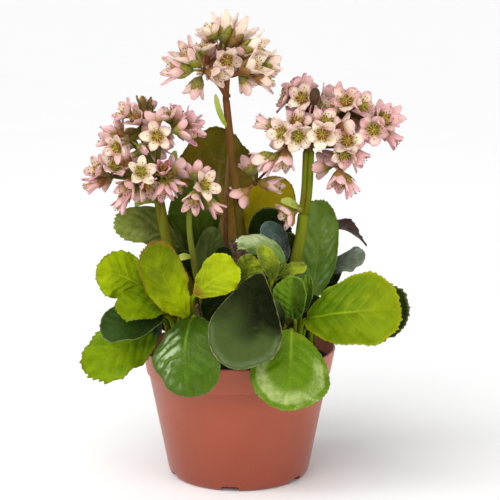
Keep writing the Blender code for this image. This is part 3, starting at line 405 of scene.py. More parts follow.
# Flower heads: the trunk's end, branches from point to point, and clusters, each with its hub and flowers.
# A flower is (kind, bearing, elevation, reach, tint). The tint runs from 0, cream, to 1, rose, and -1 is
# dried. Bearings are in degrees from the front towards the right.
HEADS = {
    "left": {
        "trunk": (-54, 0, 206),
        "branches": [((-54, 0, 205), (-70, -3, 225)), ((-54, 0, 205), (-51, -7, 230)),
                     ((-70, -3, 225), (-63, 7, 235)), ((-54, 0, 204), (-67, -11, 202)),
                     ((-67, -11, 202), (-83, -4, 202)), ((-51, -7, 230), (-43, 6, 231)),
                     ((-54, 0, 206), (-49, -10, 203)), ((-54, 0, 206), (-64, 19, 218))],
        "clusters": [
            ((-63, 7, 235), [("cup", -67, 35, 16, 0.55), ("bell", -27, 30, 9, 0.45),
                             ("tube", 134, 84, 9, -1), ("bud", 104, 66, 11, -1)]),
            ((-70, -3, 225), [("bell", -82, 8, 15, 0.6), ("open", -38, -12, 17, 0.4),
                              ("cup", -124, 26, 14, 0.55), ("bud", 46, -21, 13, 0.35)]),
            ((-83, -4, 202), [("tube", -67, -19, 11, 0.75), ("cup", -56, 25, 13, 0.6),
                              ("open", 21, 44, 13, 0.35), ("bell", -143, -16, 8, 0.6)]),
            ((-67, -11, 202), [("open", 25, 25, 14, 0.1), ("bell", -28, -27, 10, 0.5),
                               ("tube", -70, -59, 16, 0.7), ("cup", 51, -26, 12, 0.5),
                               ("bell", -164, -47, 12, 0.6)]),
            ((-51, -7, 230), [("open", -7, -2, 13, 0.2), ("cup", -144, 57, 11, 0.5)]),
            ((-43, 6, 231), [("cup", -52, 66, 12, 0.4), ("bell", 124, 70, 8, 0.5),
                             ("cup", 95, 31, 14, 0.75), ("tube", 61, -12, 9, 0.85),
                             ("bell", 102, 6, 13, 0.8)]),
            ((-49, -10, 203), [("bell", 1, -59, 8, 0.65), ("bud", 33, 15, 10, -1),
                               ("tube", 61, -31, 8, 0.6), ("tube", 3, 31, 8, 0.95)]),
            ((-64, 19, 218), [("cup", -116, 19, 11, 0.55), ("bell", 146, 60, 8, 0.6),
                              ("cup", 145, -14, 12, 0.5), ("bell", -133, -46, 8, 0.6)]),
        ],
    },
    "small": {
        "trunk": (-28, -13, 195),
        "branches": [],
        "clusters": [
            ((-28, -13, 195), [("bell", -8, -43, 8, 0.5), ("open", 40, 18, 13, 0.25),
                               ("tube", 83, -44, 15, 0.7)]),
        ],
    },
    "centre": {
        "trunk": (-7, 2, 270),
        "branches": [((-7, 3, 253), (-22, -5, 271)), ((-7, 2, 268), (-10, 3, 280)),
                     ((-7, 2, 268), (-1, -3, 269)), ((-7, 2, 268), (-12, 15, 281))],
        "clusters": [
            ((-22, -5, 271), [("long", -65, 3, 16, 0.4), ("long", -53, 38, 12, 0.25),
                              ("open", -103, 83, 16, 0.0), ("bell", 55, -14, 8, 0.35)]),
            ((-10, 3, 280), [("cup", -73, 64, 19, 0.1), ("long", 176, 74, 16, 0.0),
                             ("long", 122, 47, 15, 0.15), ("long", 74, 16, 19, 0.05),
                             ("open", 17, -16, 11, 0.3)]),
            ((-1, -3, 269), [("long", 55, 22, 11, 0.05), ("bell", 102, 14, 22, 0.15),
                             ("bell", 70, -10, 19, 0.25), ("cup", 132, -34, 10, 0.3)]),
            ((-12, 15, 281), [("cup", -141, 11, 13, 0.2), ("long", 150, 30, 10, 0.1),
                              ("cup", 132, -24, 14, 0.2), ("bell", -153, -41, 10, 0.3)]),
        ],
    },
    "right": {
        "trunk": (47, 0, 226),
        "branches": [((47, 0, 225), (44, 5, 248)), ((47, 0, 225), (71, 3, 244)),
                     ((71, 3, 244), (90, 0, 236)), ((47, 0, 224), (36, -7, 231)),
                     ((47, 0, 225), (56, -10, 232)), ((47, 0, 222), (70, -3, 222)),
                     ((70, -3, 222), (67, -6, 208)), ((36, -7, 231), (32, -6, 221)),
                     ((32, -6, 221), (11, 7, 196)), ((47, 0, 225), (52, 18, 240)),
                     ((47, 0, 225), (76, 17, 232))],
        "clusters": [
            ((44, 5, 248), [("cup", -98, 62, 15, 0.75), ("open", -85, 18, 16, 0.5),
                            ("open", -16, 29, 13, 0.3), ("bud", 33, 28, 9, -1)]),
            ((71, 3, 244), [("cup", -137, 42, 15, 0.75), ("open", -6, 39, 14, 0.4),
                            ("open", 47, 19, 16, 0.55), ("bell", -57, 21, 10, 0.35)]),
            ((90, 0, 236), [("cup", 36, 23, 10, 0.75), ("open", -12, -14, 13, 0.55),
                            ("tube", 79, -40, 11, 1.0), ("bell", 145, 37, 8, 0.7)]),
            ((36, -7, 231), [("tube", -92, 17, 17, 0.4), ("open", -41, 3, 14, 0.3),
                             ("cup", 18, 47, 11, 0.35), ("open", 13, -7, 13, 0.1)]),
            ((56, -10, 232), [("cup", 6, 47, 10, 0.45), ("open", -10, -4, 13, 0.1),
                              ("bell", -140, 44, 10, 0.4)]),
            ((70, -3, 222), [("open", 5, 25, 12, 0.35), ("cup", -7, -29, 10, 0.4),
                             ("bell", 67, -39, 10, 0.7), ("tube", 144, 29, 8, 0.6)]),
            ((67, -6, 208), [("bell", -19, -53, 8, 0.45), ("tube", 70, -63, 11, 1.0)]),
            ((32, -6, 221), [("tube", -85, -40, 13, 0.65), ("bell", -16, -56, 8, 0.35),
                             ("bell", -90, -25, 17, 0.3)]),
            ((11, 7, 196), [("tube", 66, -3, 10, 0.45)]),
            ((52, 18, 240), [("cup", -133, 11, 11, 0.5), ("cup", 172, 39, 10, 0.5),
                             ("bell", 132, -9, 9, 0.5), ("cup", -154, -42, 12, 0.4)]),
            ((76, 17, 232), [("bell", -152, 13, 8, 0.6), ("cup", 159, 30, 11, 0.7),
                             ("cup", 133, -14, 13, 0.7), ("bell", -170, -56, 9, 0.6)]),
        ],
    },
}
BACK_KINDS = ("cup", "tube", "bell")

# Two small flowers low on the right stem, and a dead bud on its own stalk in the right head
LOOSE_HUB = (40, -2, 180)
LOOSE_FLOWERS = [("cup", -68, -22, 10, 0.3), ("bud", -78, -52, 12, 0.45)]
DEAD_BUD = [(47, -1, 236), (47, -7, 242), (49, -11, 251)]

# Petals of each kind of flower: (radius, height) of the bend and of the end, half width, how much the
# petal curls in across its width, how far its tip bends back, and (radius, height) of the anthers
FLOWER_KINDS = {
    "open": ((5.2, 2.2), (9.5, 6.6), 5.4, 0.30, 1.0, (5.6, 7.2)),
    "cup": ((6.2, 3.0), (8.3, 9.6), 5.5, 0.40, 0.8, (4.4, 8.6)),
    "bell": ((5.6, 4.4), (6.2, 13.4), 4.9, 0.45, 1.2, (3.4, 11.6)),
    "tube": ((4.6, 5.6), (3.8, 15.0), 3.6, 0.55, 1.6, (2.4, 14.0)),
    "long": ((6.0, 6.4), (7.6, 19.0), 5.4, 0.45, 1.7, (3.8, 14.5)),
    "bud": ((3.8, 3.0), (0.6, 9.2), 2.7, 0.75, 0.0, None),
}
BLUNTNESS = {"long": 0.55, "tube": 0.75, "bell": 0.75}  # below 1 for pointed petals


def unit(vector):
    vector = np.asarray(vector, float)
    return vector / np.linalg.norm(vector)


def direction(bearing, elevation):
    a, e = math.radians(bearing), math.radians(elevation)
    return np.array([math.sin(a) * math.cos(e), -math.cos(a) * math.cos(e), math.sin(e)])


def bezier(points, t):
    """Points of the Bezier curve with these control points, for one t or an array of them."""
    t = np.asarray(t, float)[..., None]
    points = [np.asarray(p, float) for p in points]
    while len(points) > 1:
        points = [(1 - t) * a + t * b for a, b in zip(points, points[1:])]
    return points[0]


def smoothstep(low, high, value):
    t = np.clip((value - low) / (high - low), 0, 1)
    return t * t * (3 - 2 * t)


def flowing(points, samples):
    """A smooth line through the points (Catmull-Rom), evenly stepped in its parameter."""
    points = np.asarray(points, float)
    padded = np.vstack([2 * points[0] - points[1], points, 2 * points[-1] - points[-2]])
    at = np.linspace(0, len(points) - 1 - 1e-9, samples)
    i = at.astype(int)
    t = (at - i)[:, None]
    a, b, c, d = padded[i], padded[i + 1], padded[i + 2], padded[i + 3]
    return 0.5 * (2 * b + (c - a) * t + (2 * a - 5 * b + 4 * c - d) * t**2 + (3 * b - a - 3 * c + d) * t**3)


class Shape:
    """Collects faces for one piece, in millimetres, with a material number and four painted values."""

    def __init__(self):
        self.points, self.paint, self.faces, self.kinds = [], [], [], []
        self.count = 0

    def add(self, points, faces, kind=0, paint=(0, 0, 0, 1)):
        points = np.asarray(points, float).reshape(-1, 3)
        paint = np.broadcast_to(np.asarray(paint, float), (len(points), 4))
        self.points.append(points)
        self.paint.append(paint)
        self.faces += [tuple(int(i) + self.count for i in face) for face in faces]
        self.kinds += [kind] * len(faces)
        self.count += len(points)

    def build(self, name, materials, slot, nodes):
        mesh = bpy.data.meshes.new(name)
        mesh.from_pydata((np.vstack(self.points) * MM).tolist(), [], self.faces)
        for material in materials:
            mesh.materials.append(material)
        mesh.polygons.foreach_set("material_index", self.kinds)
        mesh.polygons.foreach_set("use_smooth", [True] * len(mesh.polygons))
        paint = mesh.attributes.new("paint", "FLOAT_COLOR", "POINT")
        paint.data.foreach_set("color", np.vstack(self.paint).astype(np.float32).ravel())
        mesh.update()
        obj = bpy.data.objects.new(name, mesh)
        bpy.context.scene.collection.objects.link(obj)
        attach(obj, "root")
        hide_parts(*nodes)
        return obj


def grid_faces(rows, columns, start=0, flip=False, wrap=False):
    """Quads between the points of a grid that is stored row by row."""
    faces = []
    for i in range(rows - 1):
        for j in range(columns if wrap else columns - 1):
            a = start + i * columns + j
            b = start + i * columns + (j + 1) % columns
            quad = (a, b, b + columns, a + columns)
            faces.append(quad[::-1] if flip else quad)
    return faces


def normals_of(grid):
    du = np.gradient(grid, axis=0)
    dv = np.gradient(grid, axis=1)
    normal = np.cross(du, dv)
    return normal / np.maximum(np.linalg.norm(normal, axis=2, keepdims=True), 1e-9)


def closed_sheet(shape, grid, thickness, kind, paint, up):
    """A sheet of some thickness round a grid of points, closed along its rim.

    The last painted value is 1 on the upper face and 0 on the lower one."""
    rows, columns, _ = grid.shape
    normal = normals_of(grid)
    swap = bool((normal * up).sum() < 0)
    if swap:
        normal = -normal
    half = np.broadcast_to(thickness, (rows, columns))[..., None] / 2
    size = rows * columns
    top, low = (grid + normal * half).reshape(-1, 3), (grid - normal * half).reshape(-1, 3)
    faces = grid_faces(rows, columns, 0, flip=swap) + grid_faces(rows, columns, size, flip=not swap)
    rim = list(range(columns))
    rim += [i * columns + columns - 1 for i in range(1, rows)]
    rim += [(rows - 1) * columns + j for j in range(columns - 2, -1, -1)]
    rim += [i * columns for i in range(rows - 2, 0, -1)]
    for a, b in zip(rim, rim[1:] + rim[:1]):
        quad = (a, a + size, b + size, b)
        faces.append(quad[::-1] if swap else quad)
    above = np.array(np.broadcast_to(paint, (rows, columns, 4)), float).reshape(-1, 4)
    below = above.copy()
    above[:, 3], below[:, 3] = 1, 0
    shape.add(np.vstack([top, low]), faces, kind, np.vstack([above, below]))


def tube(shape, line, radii, sides, kind, paint, ribs=(0, 0.0)):
    """A closed tube along a line. Paint runs along it in the first value, ribs are ridges along it."""
    line, radii = np.asarray(line, float), np.asarray(radii, float)
    along = np.gradient(line, axis=0)
    along /= np.linalg.norm(along, axis=1, keepdims=True)
    across = np.zeros_like(line)
    guess = np.array([0, 1.0, 0]) if abs(along[0][1]) < 0.9 else np.array([1.0, 0, 0])
    for i, way in enumerate(along):
        guess = unit(guess - way * (guess @ way))
        across[i] = guess
    over = np.cross(along, across)
    turn = np.linspace(0, math.tau, sides, endpoint=False)
    reach = radii[:, None] * (1 + ribs[1] * np.cos(ribs[0] * turn))[None, :]
    ring = across[:, None] * np.cos(turn)[None, :, None] + over[:, None] * np.sin(turn)[None, :, None]
    points = (line[:, None] + ring * reach[..., None]).reshape(-1, 3)
    count = len(line)
    faces = grid_faces(count, sides, wrap=True)
    faces.append(tuple(range(sides))[::-1])
    faces.append(tuple(range((count - 1) * sides, count * sides)))
    values = np.array(np.broadcast_to(paint, (count * sides, 4)), float)
    values[:, 0] = np.repeat(np.linspace(0, 1, count), sides)
    shape.add(points, faces, kind, values)


def ball(shape, centre, axis, radius, length, kind, paint, sides=6, rings=3):
    """A small closed egg: an ellipsoid along an axis."""
    axis = unit(axis)
    across = unit(np.cross(axis, (0.3, 0.9, 0.2)))
    over = np.cross(axis, across)
    points = [np.asarray(centre, float) - axis * length / 2]
    for i in range(1, rings + 1):
        angle = math.pi * i / (rings + 1)
        for k in range(sides):
            turn = math.tau * k / sides
            out = across * math.cos(turn) + over * math.sin(turn)
            points.append(np.asarray(centre) - axis * length / 2 * math.cos(angle)
                          + out * radius * math.sin(angle))
    points.append(np.asarray(centre, float) + axis * length / 2)
    faces = [(0, 1 + (k + 1) % sides, 1 + k) for k in range(sides)]
    faces += grid_faces(rings, sides, 1, wrap=True)
    last = 1 + (rings - 1) * sides
    faces += [(last + k, last + (k + 1) % sides, len(points) - 1) for k in range(sides)]
    shape.add(points, faces, kind, paint)


def rhizome_line(name, samples):
    foot, bend, top, _ = RHIZOMES[name]
    return bezier((foot, bend, top), np.linspace(0, 1, samples))


def rhizome_point(name, height):
    foot, bend, top, _ = RHIZOMES[name]
    t = np.linspace(0, 1, 21)
    return bezier((foot, bend, top), float(np.interp(height, bezier((foot, bend, top), t)[:, 2], t)))


class Leaf:
    """The shape of one leaf, by the same rule as its solid, with veins, teeth and a finer rim added."""

    def __init__(self, foot, knee, belly, tip, width, face, cup, base_width, teeth, look, draw):
        self.knee, self.tip = np.array(knee, float), np.array(tip, float)
        self.bend = 2 * np.array(belly, float) - (self.knee + self.tip) / 2
        self.half = width / 2
        self.cup = math.radians(cup)
        self.base_width = base_width / 100
        self.quilt, self.ruffle = look["quilt"], look["ruffle"]
        self.tooth, self.scallop = TOOTH * look["tooth"], look["scallop"]
        sizes = [draw.uniform(0.35, 1.3) for _ in range(teeth)]
        self.tooth_sizes = np.resize(sizes, round(1.5 * teeth))
        self.turns = [draw.uniform(0, math.tau) for _ in range(12)]
        self.phase = draw.uniform(0, 1)
        self.foot, self.start = self.root(foot)
        self.samples = np.linspace(0, 1, FRAMES)
        self.up, self.side = self.frames(unit(face))
        across = np.linspace(-1, 1, 101)
        self.widest = (np.sqrt(1 - across**2) * self.narrowing(across)).max()

    def root(self, foot):
        """Where the stalk starts, in the soil or inside a rhizome, and the way it leaves."""
        if foot[0] == "soil":
            start = np.array([foot[1], foot[2], SOIL_LEVEL - ROOT_DEPTH + SOIL_MOUND], float)
            return start, unit(unit(self.knee - start) + (0, 0, 1.2))
        name, bearing, height = foot
        out = direction(bearing, 0)
        radius = RHIZOMES[name][3] * 0.9 - STALK_SEED
        return rhizome_point(name, height) + out * radius, unit(out + (0, 0, 0.5))

    def point(self, s):
        inside = np.clip(s, 0, 1)
        beyond = np.asarray(s - inside)[..., None]
        return bezier((self.knee, self.bend, self.tip), inside) + self.slope(inside) * beyond

    def slope(self, s):
        s = np.clip(np.asarray(s, float), 0, 1)[..., None]
        return 2 * (1 - s) * (self.bend - self.knee) + 2 * s * (self.tip - self.bend)

    def frames(self, face):
        """The upward and sideways directions along the midrib, carried from its middle without a twist."""
        along = [unit(self.slope(s)) for s in self.samples]
        middle = FRAMES // 2
        up = [None] * FRAMES
        up[middle] = unit(face - along[middle] * (face @ along[middle]))
        for i in range(middle + 1, FRAMES):
            up[i] = unit(up[i - 1] - along[i] * (up[i - 1] @ along[i]))
        for i in range(middle - 1, -1, -1):
            up[i] = unit(up[i + 1] - along[i] * (up[i + 1] @ along[i]))
        return np.array(up), np.cross(along, up)

    def frame(self, s):
        """The upward and sideways directions at the share s of the midrib."""
        tables = []
        for table in (self.up, self.side):
            value = np.stack([np.interp(s, self.samples, table[:, k]) for k in range(3)], axis=-1)
            tables.append(value / np.linalg.norm(value, axis=-1, keepdims=True))
        return tables

    def narrowing(self, x):
        """How much of the full width is left at x, which runs from -1 at the stalk to 1 at the tip."""
        return 1 - (1 - self.base_width) * ((1 - np.clip(x, -1, 1)) / 2) ** 1.5

    def relief(self, x, y):
        """How far the face stands out: grooves along the veins, pillows between them, a ruffled rim."""
        s, a = (1 + x) / 2, np.abs(y)
        radius, turn = np.sqrt(x * x + y * y), np.arctan2(y, x)
        inside = 1 - smoothstep(0.75, 1.0, radius)
        bend = 0.35 * np.sin(3 * x + 4 * y + self.turns[6])
        veins = np.cos(math.tau * (VEINS * s - VEIN_SWEEP * a**1.25 + self.phase) + bend)
        lift = -0.5 * self.quilt * veins * smoothstep(0.03, 0.3, a) * inside
        lift -= 0.7 * self.quilt * np.exp(-((a / 0.09) ** 2)) * np.sqrt(np.clip(1 - s, 0, 1))
        for k in range(4):
            way, size = self.turns[k], 9 + 4 * k
            lift += 0.16 * self.quilt * np.sin(size * (x * math.cos(way) + y * math.sin(way)) + way * 7)
        wave = np.sin(5.1 * x + 3.3 * y + self.turns[4]) + np.sin(2.2 * x - 6.4 * y + self.turns[5])
        lift += 0.018 * self.half * wave * radius**2
        ruffle = np.sin(7 * turn + self.turns[7]) + 0.7 * np.sin(11 * turn + self.turns[8])
        return lift + self.ruffle * self.half * ruffle * radius**4 * smoothstep(-0.95, -0.4, x)

    def outline(self, x, y):
        """How much further out the rim lies: small forward teeth on an uneven outline."""
        radius, turn = np.sqrt(x * x + y * y), np.arctan2(y, x)
        count = len(self.tooth_sizes)
        place = (turn / math.tau + 0.5) * count + self.phase
        place = place + 0.45 * np.sin(3 * turn + self.turns[7]) + 0.25 * np.sin(8 * turn + self.turns[8])
        tooth = np.floor(place).astype(int)
        share = np.where(turn > 0, 1 - (place - tooth), place - tooth)
        height = np.minimum(share / 0.7, (1 - share) / 0.3) * self.tooth_sizes[tooth % count]
        uneven = 0.022 * np.sin(2 * turn + self.turns[9]) + 0.016 * np.sin(3 * turn + self.turns[10])
        uneven += 0.012 * np.sin(5 * turn + self.turns[11])
        uneven += self.scallop * (np.abs(np.sin(7 * turn + self.turns[8])) - 0.6)
        free = smoothstep(-0.97, -0.75, x)
        return 1 + free * (self.tooth * height * smoothstep(0.9, 1.0, radius) + uneven * radius**2)

    def surface(self, x, y):
        """Points of the cupped face for x along the blade and y across it, both from -1 to 1."""
        s = (1 + x) / 2
        across = y * self.narrowing(x) / self.widest
        angle = across * self.cup
        sideways = self.half / self.cup * np.sin(angle)
        lift = self.half / self.cup * (1 - np.cos(angle))
        phase = np.where(y > 0, 0.25, -0.25)
        height = WAVE_HEIGHT * min(1.0, self.half / 15)
        lift = lift + height * across * across * np.sin(math.tau * (WAVES * s + phase))
        lift = lift + self.relief(x, y)
        up, side = self.frame(s)
        return self.point(s) + side * sideways[..., None] + up * lift[..., None]

    def stalk(self, samples):
        """The stalk's line, its radii with a sheath at the foot, and its plain radius."""
        length = np.linalg.norm(self.knee - self.foot)
        radius = STALK_RADIUS * (0.7 if self.half < 12 else 1.0)
        up, _ = self.frame(0.0)
        end = self.knee - up * radius * 0.8
        handles = (self.foot, self.foot + self.start * length * 0.35,
                   end - unit(self.slope(0)) * length * 0.25, end)
        t = np.linspace(0, 1, samples)
        sheath = 1 + 0.5 * np.exp(-((t / 0.09) ** 2))
        return bezier(handles, t), (1 - 0.2 * t) * sheath * radius, radius


def blade(shape, leaf, columns, rows, kind):
    """The blade of a leaf: a square grid bent to a disc, laid on the leaf's face."""
    u, v = np.meshgrid(np.linspace(-1, 1, columns + 1), np.linspace(-1, 1, rows + 1), indexing="ij")
    x, y = u * np.sqrt(1 - v * v / 2), v * np.sqrt(1 - u * u / 2)
    radius = np.sqrt(x * x + y * y)
    grow = leaf.outline(x, y)
    grid = leaf.surface(x * grow, y * grow)
    thickness = BLADE_THICKNESS + (RIM_THICKNESS - BLADE_THICKNESS) * smoothstep(0.7, 1.0, radius)
    paint = np.stack([x * 0.5 + 0.5, y * 0.5 + 0.5, radius, np.ones_like(x)], axis=-1)
    closed_sheet(shape, grid, thickness, kind, paint, leaf.frame((1 + x) / 2)[0])


def leaf_piece(row, looks, draw):
    """A leaf with its stalk and the raised midrib under the blade, and the dark gap leaves beside it."""
    name, look, slot, *curve = row
    leaf = Leaf(*curve, LOOKS[look], draw)
    width = 2 * leaf.half
    shape = Shape()
    columns, rows = (76, 56) if width >= 30 else (56, 42) if width > 18 else (32, 24)
    blade(shape, leaf, columns, rows, 0)
    line, radii, radius = leaf.stalk(18)
    tube(shape, line, radii, STALK_SIDES, 1, (0, draw.uniform(0, 1), 0, 1))
    # Dark leaves in the gaps: on material 0, sheets in painted shade where there is only shade.
    for kind, *curve in GAP_LEAVES.get(name, []):
        gap_leaf = Leaf(*curve, GAP_TEETH, {**PLAIN, "tooth": 0.5}, random.Random(3))
        blade(shape, gap_leaf, 40, 30, kind)
        line, radii, _ = gap_leaf.stalk(14)
        tube(shape, line, radii, STALK_SIDES, 1, (0, 0.9, 0, 1))
    s = np.linspace(0.0, MIDRIB_END, 12)
    up, _ = leaf.frame(s)
    size = radius * np.interp(s, (0, 0.25, MIDRIB_END), (0.8, 0.45, 0.12))
    below = size * 0.9 + 0.3 + 0.5 * leaf.quilt
    tube(shape, leaf.point(s) - up * below[:, None], size, 8, 1, (0, 1, 0, 1))
    if name == "back_large":
        line = flowing(ROSY_STALK, 30)
        tube(shape, line, np.linspace(1.9, 0.8, 30), STALK_SIDES, 3, (0, 0.6, 0, 1), (5, 0.04))
    names = ("leaf_" + look, "leaf_stalk", "leaf_left_back_right", "rosy_stalk")
    shape.build("leafwork_" + name, [looks[material] for material in names], slot, ["leaf_" + name])


# ---- flowers


def flower_frame(axis, roll):
    """Two directions across a flower's axis, turned by roll."""
    aside = (0, 0, 1) if abs(axis[2]) < 0.9 else (1, 0, 0)
    across = unit(np.cross(axis, aside))
    over = np.cross(axis, across)
    return (across * math.cos(roll) + over * math.sin(roll),
            over * math.cos(roll) - across * math.sin(roll))


def petal(shape, base, out, side, axis, kind, tint, slim, draw):
    """One petal: a rounded sheet with a narrow foot that curls in across its width."""
    (bend_r, bend_h), (end_r, end_h), half, curl, back, _ = FLOWER_KINDS[kind]
    spread, lean = draw.uniform(-0.7, 0.9), draw.uniform(-0.9, 0.9)
    size = draw.uniform(0.92, 1.06)
    half = half * slim * draw.uniform(0.9, 1.05)
    t = 1 - (1 - np.linspace(0, 1, 10)) ** 1.35
    w = np.linspace(-1, 1, 7)
    middle = bezier(((1.5, 1.6), (bend_r + spread * 0.4, bend_h), (end_r + spread, end_h * size)), t)
    middle = middle + np.outer(smoothstep(0.6, 1.0, t), (back, -0.35 * back))
    way = np.gradient(middle, axis=0)
    way /= np.linalg.norm(way, axis=1, keepdims=True)
    inward = np.stack([-way[:, 1], way[:, 0]], axis=1)
    foot = 0.4 + 0.6 * smoothstep(0.0, 0.5, t)
    bluntness = draw.uniform(1.5, 3.0) * BLUNTNESS.get(kind, 1.0)
    end = np.sqrt(np.clip(1 - (np.clip(t - 0.55, 0, 1) / 0.45) ** bluntness, 0.03, 1))
    width = half * size * foot * end
    lift = curl * np.outer(width, w**2) * 0.8 + 0.28 * np.outer(np.ones(len(t)), w)
    lift += 0.6 * np.outer(t**3, np.sin(w * 3.4 + lean * 4))
    lift += 0.15 * np.outer(t, np.cos(w * 9 + spread * 5))
    r = middle[:, 0][:, None] + inward[:, 0][:, None] * lift
    h = middle[:, 1][:, None] + inward[:, 1][:, None] * lift
    aside = np.outer(width, w) * (1 - 0.25 * curl * w**2) + lean * np.outer(t**2, np.ones(7)) * 0.6
    grid = base + r[..., None] * out + h[..., None] * axis + aside[..., None] * side
    paint = np.zeros((len(t), 7, 4))
    paint[..., 0], paint[..., 1] = t[:, None], w[None, :] * 0.5 + 0.5
    paint[..., 2] = tint
    up = inward[:, 0][:, None, None] * out + inward[:, 1][:, None, None] * axis
    closed_sheet(shape, grid, PETAL_THICKNESS, 0, paint, up)


def spoke(axes, share):
    """The way out at a share of a turn round a flower's axis, and the way sideways there."""
    angle = math.tau * share
    out = axes[0] * math.cos(angle) + axes[1] * math.sin(angle)
    return out, axes[1] * math.cos(angle) - axes[0] * math.sin(angle)


def calyx(shape, base, axes, axis, full, draw):
    """The green cup that holds the petals, with five pointed lobes."""
    profile = np.array([(-1.2, 0.85), (-0.5, 1.2), (0.4, 2.0), (1.5, 2.6), (2.6, 2.75), (2.7, 1.5)]) * full
    tone = draw.uniform(0, 1)
    tube(shape, [base + axis * h for h, _ in profile], profile[:, 1], 12, 1, (0, tone, 0.5, 1))
    t, w = np.linspace(0, 1, 5), np.linspace(-1, 1, 4)
    width = 1.45 * full * np.sqrt(1.02 - t**2)
    h = (1.6 + 3.2 * t) * full
    r = np.broadcast_to((2.5 + 1.0 * t)[:, None] * full, (5, 4)) - 0.3 * (w**2)[None, :]
    paint = np.zeros((5, 4, 4))
    paint[..., 0], paint[..., 1], paint[..., 2] = 0.6 + 0.4 * t[:, None], tone, 0.5
    for k in range(PETALS):
        out, side = spoke(axes, (k + 0.5) / PETALS)
        grid = base + r[..., None] * out + h[:, None, None] * axis + np.outer(width, w)[..., None] * side
        closed_sheet(shape, grid, SEPAL_THICKNESS, 1, paint, -out)


def stamens(shape, base, axes, axis, kind, draw):
    """Ten stamens in a ring and the pistil's two styles."""
    anther_r, anther_h = FLOWER_KINDS[kind][5]
    for k in range(STAMENS):
        out, _ = spoke(axes, (k + draw.uniform(-0.2, 0.2)) / STAMENS)
        reach, height = anther_r * draw.uniform(0.8, 1.15), anther_h * draw.uniform(0.9, 1.04)
        handles = (base + out * 0.9 + axis * 2.0, base + out * 1.0 + axis * height * 0.7,
                   base + out * reach + axis * height)
        line = bezier(handles, np.linspace(0, 1, 4))
        tube(shape, line, (0.26, 0.22, 0.2, 0.14), 4, 0, (0, draw.uniform(0, 1), 0, 1))
        ball(shape, line[-1] + axis * 0.15, axis + out * 0.5, 0.38, 1.05, 1, (0, 0, 0, 1), 5, 2)
    line = [base + axis * h for h in (1.8, 3.0, 4.2, 5.2)]
    tube(shape, line, (1.35, 1.25, 0.8, 0.4), 7, 2, (0, 0.5, 0, 1))
    for out in (-axes[0], axes[0]):
        line = bezier((base + axis * 4.4 + out * 0.3, base + axis * 5.6 + out * 0.5,
                       base + axis * 6.8 + out * 1.0), np.linspace(0, 1, 3))
        tube(shape, line, (0.42, 0.32, 0.25), 5, 2, (0, 0.5, 0, 1))
        ball(shape, line[-1], axis, 0.45, 0.7, 2, (1, 0.5, 0, 1), 5, 2)


def flower(petals, greens, inner, hub, kind, bearing, elevation, reach, tint, roll, slim, draw):
    """One flower on its stalk, at reach millimetres from the hub of its cluster."""
    hub, axis = np.asarray(hub, float), direction(bearing, elevation)
    base = hub + axis * max(reach - MOUTH_HEIGHT, 3.0)
    axes = flower_frame(axis, roll)
    line = bezier((hub - axis * 0.6, hub + axis * (reach - 5.5) * 0.5, base - axis * 0.6),
                  np.linspace(0, 1, 4))
    tube(greens, line, (0.9, 0.75, 0.75, 0.95), 7, 1, (0, draw.uniform(0, 1), 0.2, 1))
    calyx(greens, base, axes, axis, CALYX_SIZES[kind] * (1.12 if slim > 0.84 else 1), draw)
    for k in range(PETALS):
        out, side = spoke(axes, k / PETALS)
        shade = tint if tint < 0 else float(np.clip(tint + draw.uniform(-0.1, 0.1), 0, 1))
        petal(petals, base, out, side, axis, kind, shade, slim * (1.15 if tint < 0 else 1), draw)
    if kind != "bud" and tint >= 0:
        stamens(inner, base, axes, axis, kind, draw)


def cluster_flowers(number, flowers):
    """The flowers of a cluster. Every second cluster has one more at its back."""
    if number % 2:
        return flowers
    kind = BACK_KINDS[number % len(BACK_KINDS)]
    bearing = 180 + 50 * math.sin(math.radians(GOLDEN_ANGLE * number))
    elevation = 10 + 30 * math.cos(math.radians(GOLDEN_ANGLE * number))
    return flowers + [(kind, bearing, elevation, 14, 0.6)]


def fillers(hub, trunk, flowers, count, draw):
    """More flowers for the widest gaps round a cluster, away from the trunk."""
    away = np.asarray(hub, float) - trunk
    away = unit(away) if np.linalg.norm(away) > 1 else np.array([0, 0, 1.0])
    taken = [direction(bearing, elevation) for _, bearing, elevation, _, _ in flowers]
    added = []
    for _ in range(count):
        best = None
        for i in range(FILLER_TRIES):
            bearing, elevation = GOLDEN_ANGLE * i, math.degrees(math.asin(0.95 - 1.75 * i / FILLER_TRIES))
            way = direction(bearing, elevation)
            if way @ away < -0.35 or way[1] < 0.1:
                continue
            room = min(math.acos(min(1, max(-1, way @ other))) for other in taken)
            if best is None or room > best[0]:
                best = (room, bearing, elevation, way)
        if best is None or best[0] < FILLER_ROOM:
            break
        kind = ("cup", "open", "bell", "tube")[draw.randrange(4)]
        tint = max(0.05, sum(other[4] for other in flowers) / len(flowers) + draw.uniform(-0.2, 0.2))
        added.append((kind, best[1], best[2], draw.uniform(12, 15), tint))
        taken.append(best[3])
    return added


def add_branches(greens, name, draw):
    """The dark branches from the top of the flower stem to the clusters."""
    head = HEADS[name]
    line, _, radius = SCAPES[name]
    top, below = np.array(line[-1], float), np.array(line[-2], float)
    way = unit(top - below)
    trunk = flowing([top, top + way * 2.5, head["trunk"]], 8)
    tube(greens, trunk, np.linspace(radius, radius * 0.8, 8), 14, 0, (0, 0.4, 0, 1), (7, 0.03))
    ball(greens, head["trunk"], way, radius * 0.8, radius * 2.4, 0, (0.5, 0.6, 0.3, 1), 10, 5)
    for start, end in head["branches"]:
        start, end = np.array(start, float), np.array(end, float)
        bend = start + (end - start) * BRANCH_BENDS[name] - (0, 0, 1.0)
        size = BRANCH_SIZES[name] * (LOW_BRANCH if end[2] < LOW_BRANCH_BELOW else 1.0)
        arm = bezier((start, bend, end), np.linspace(0, 1, 9))
        paint = (0, draw.uniform(0, 1), 0.8, 1)
        tube(greens, arm, np.linspace(1.8, 1.35, 9) * size, 10, 0, paint, (5, 0.04))


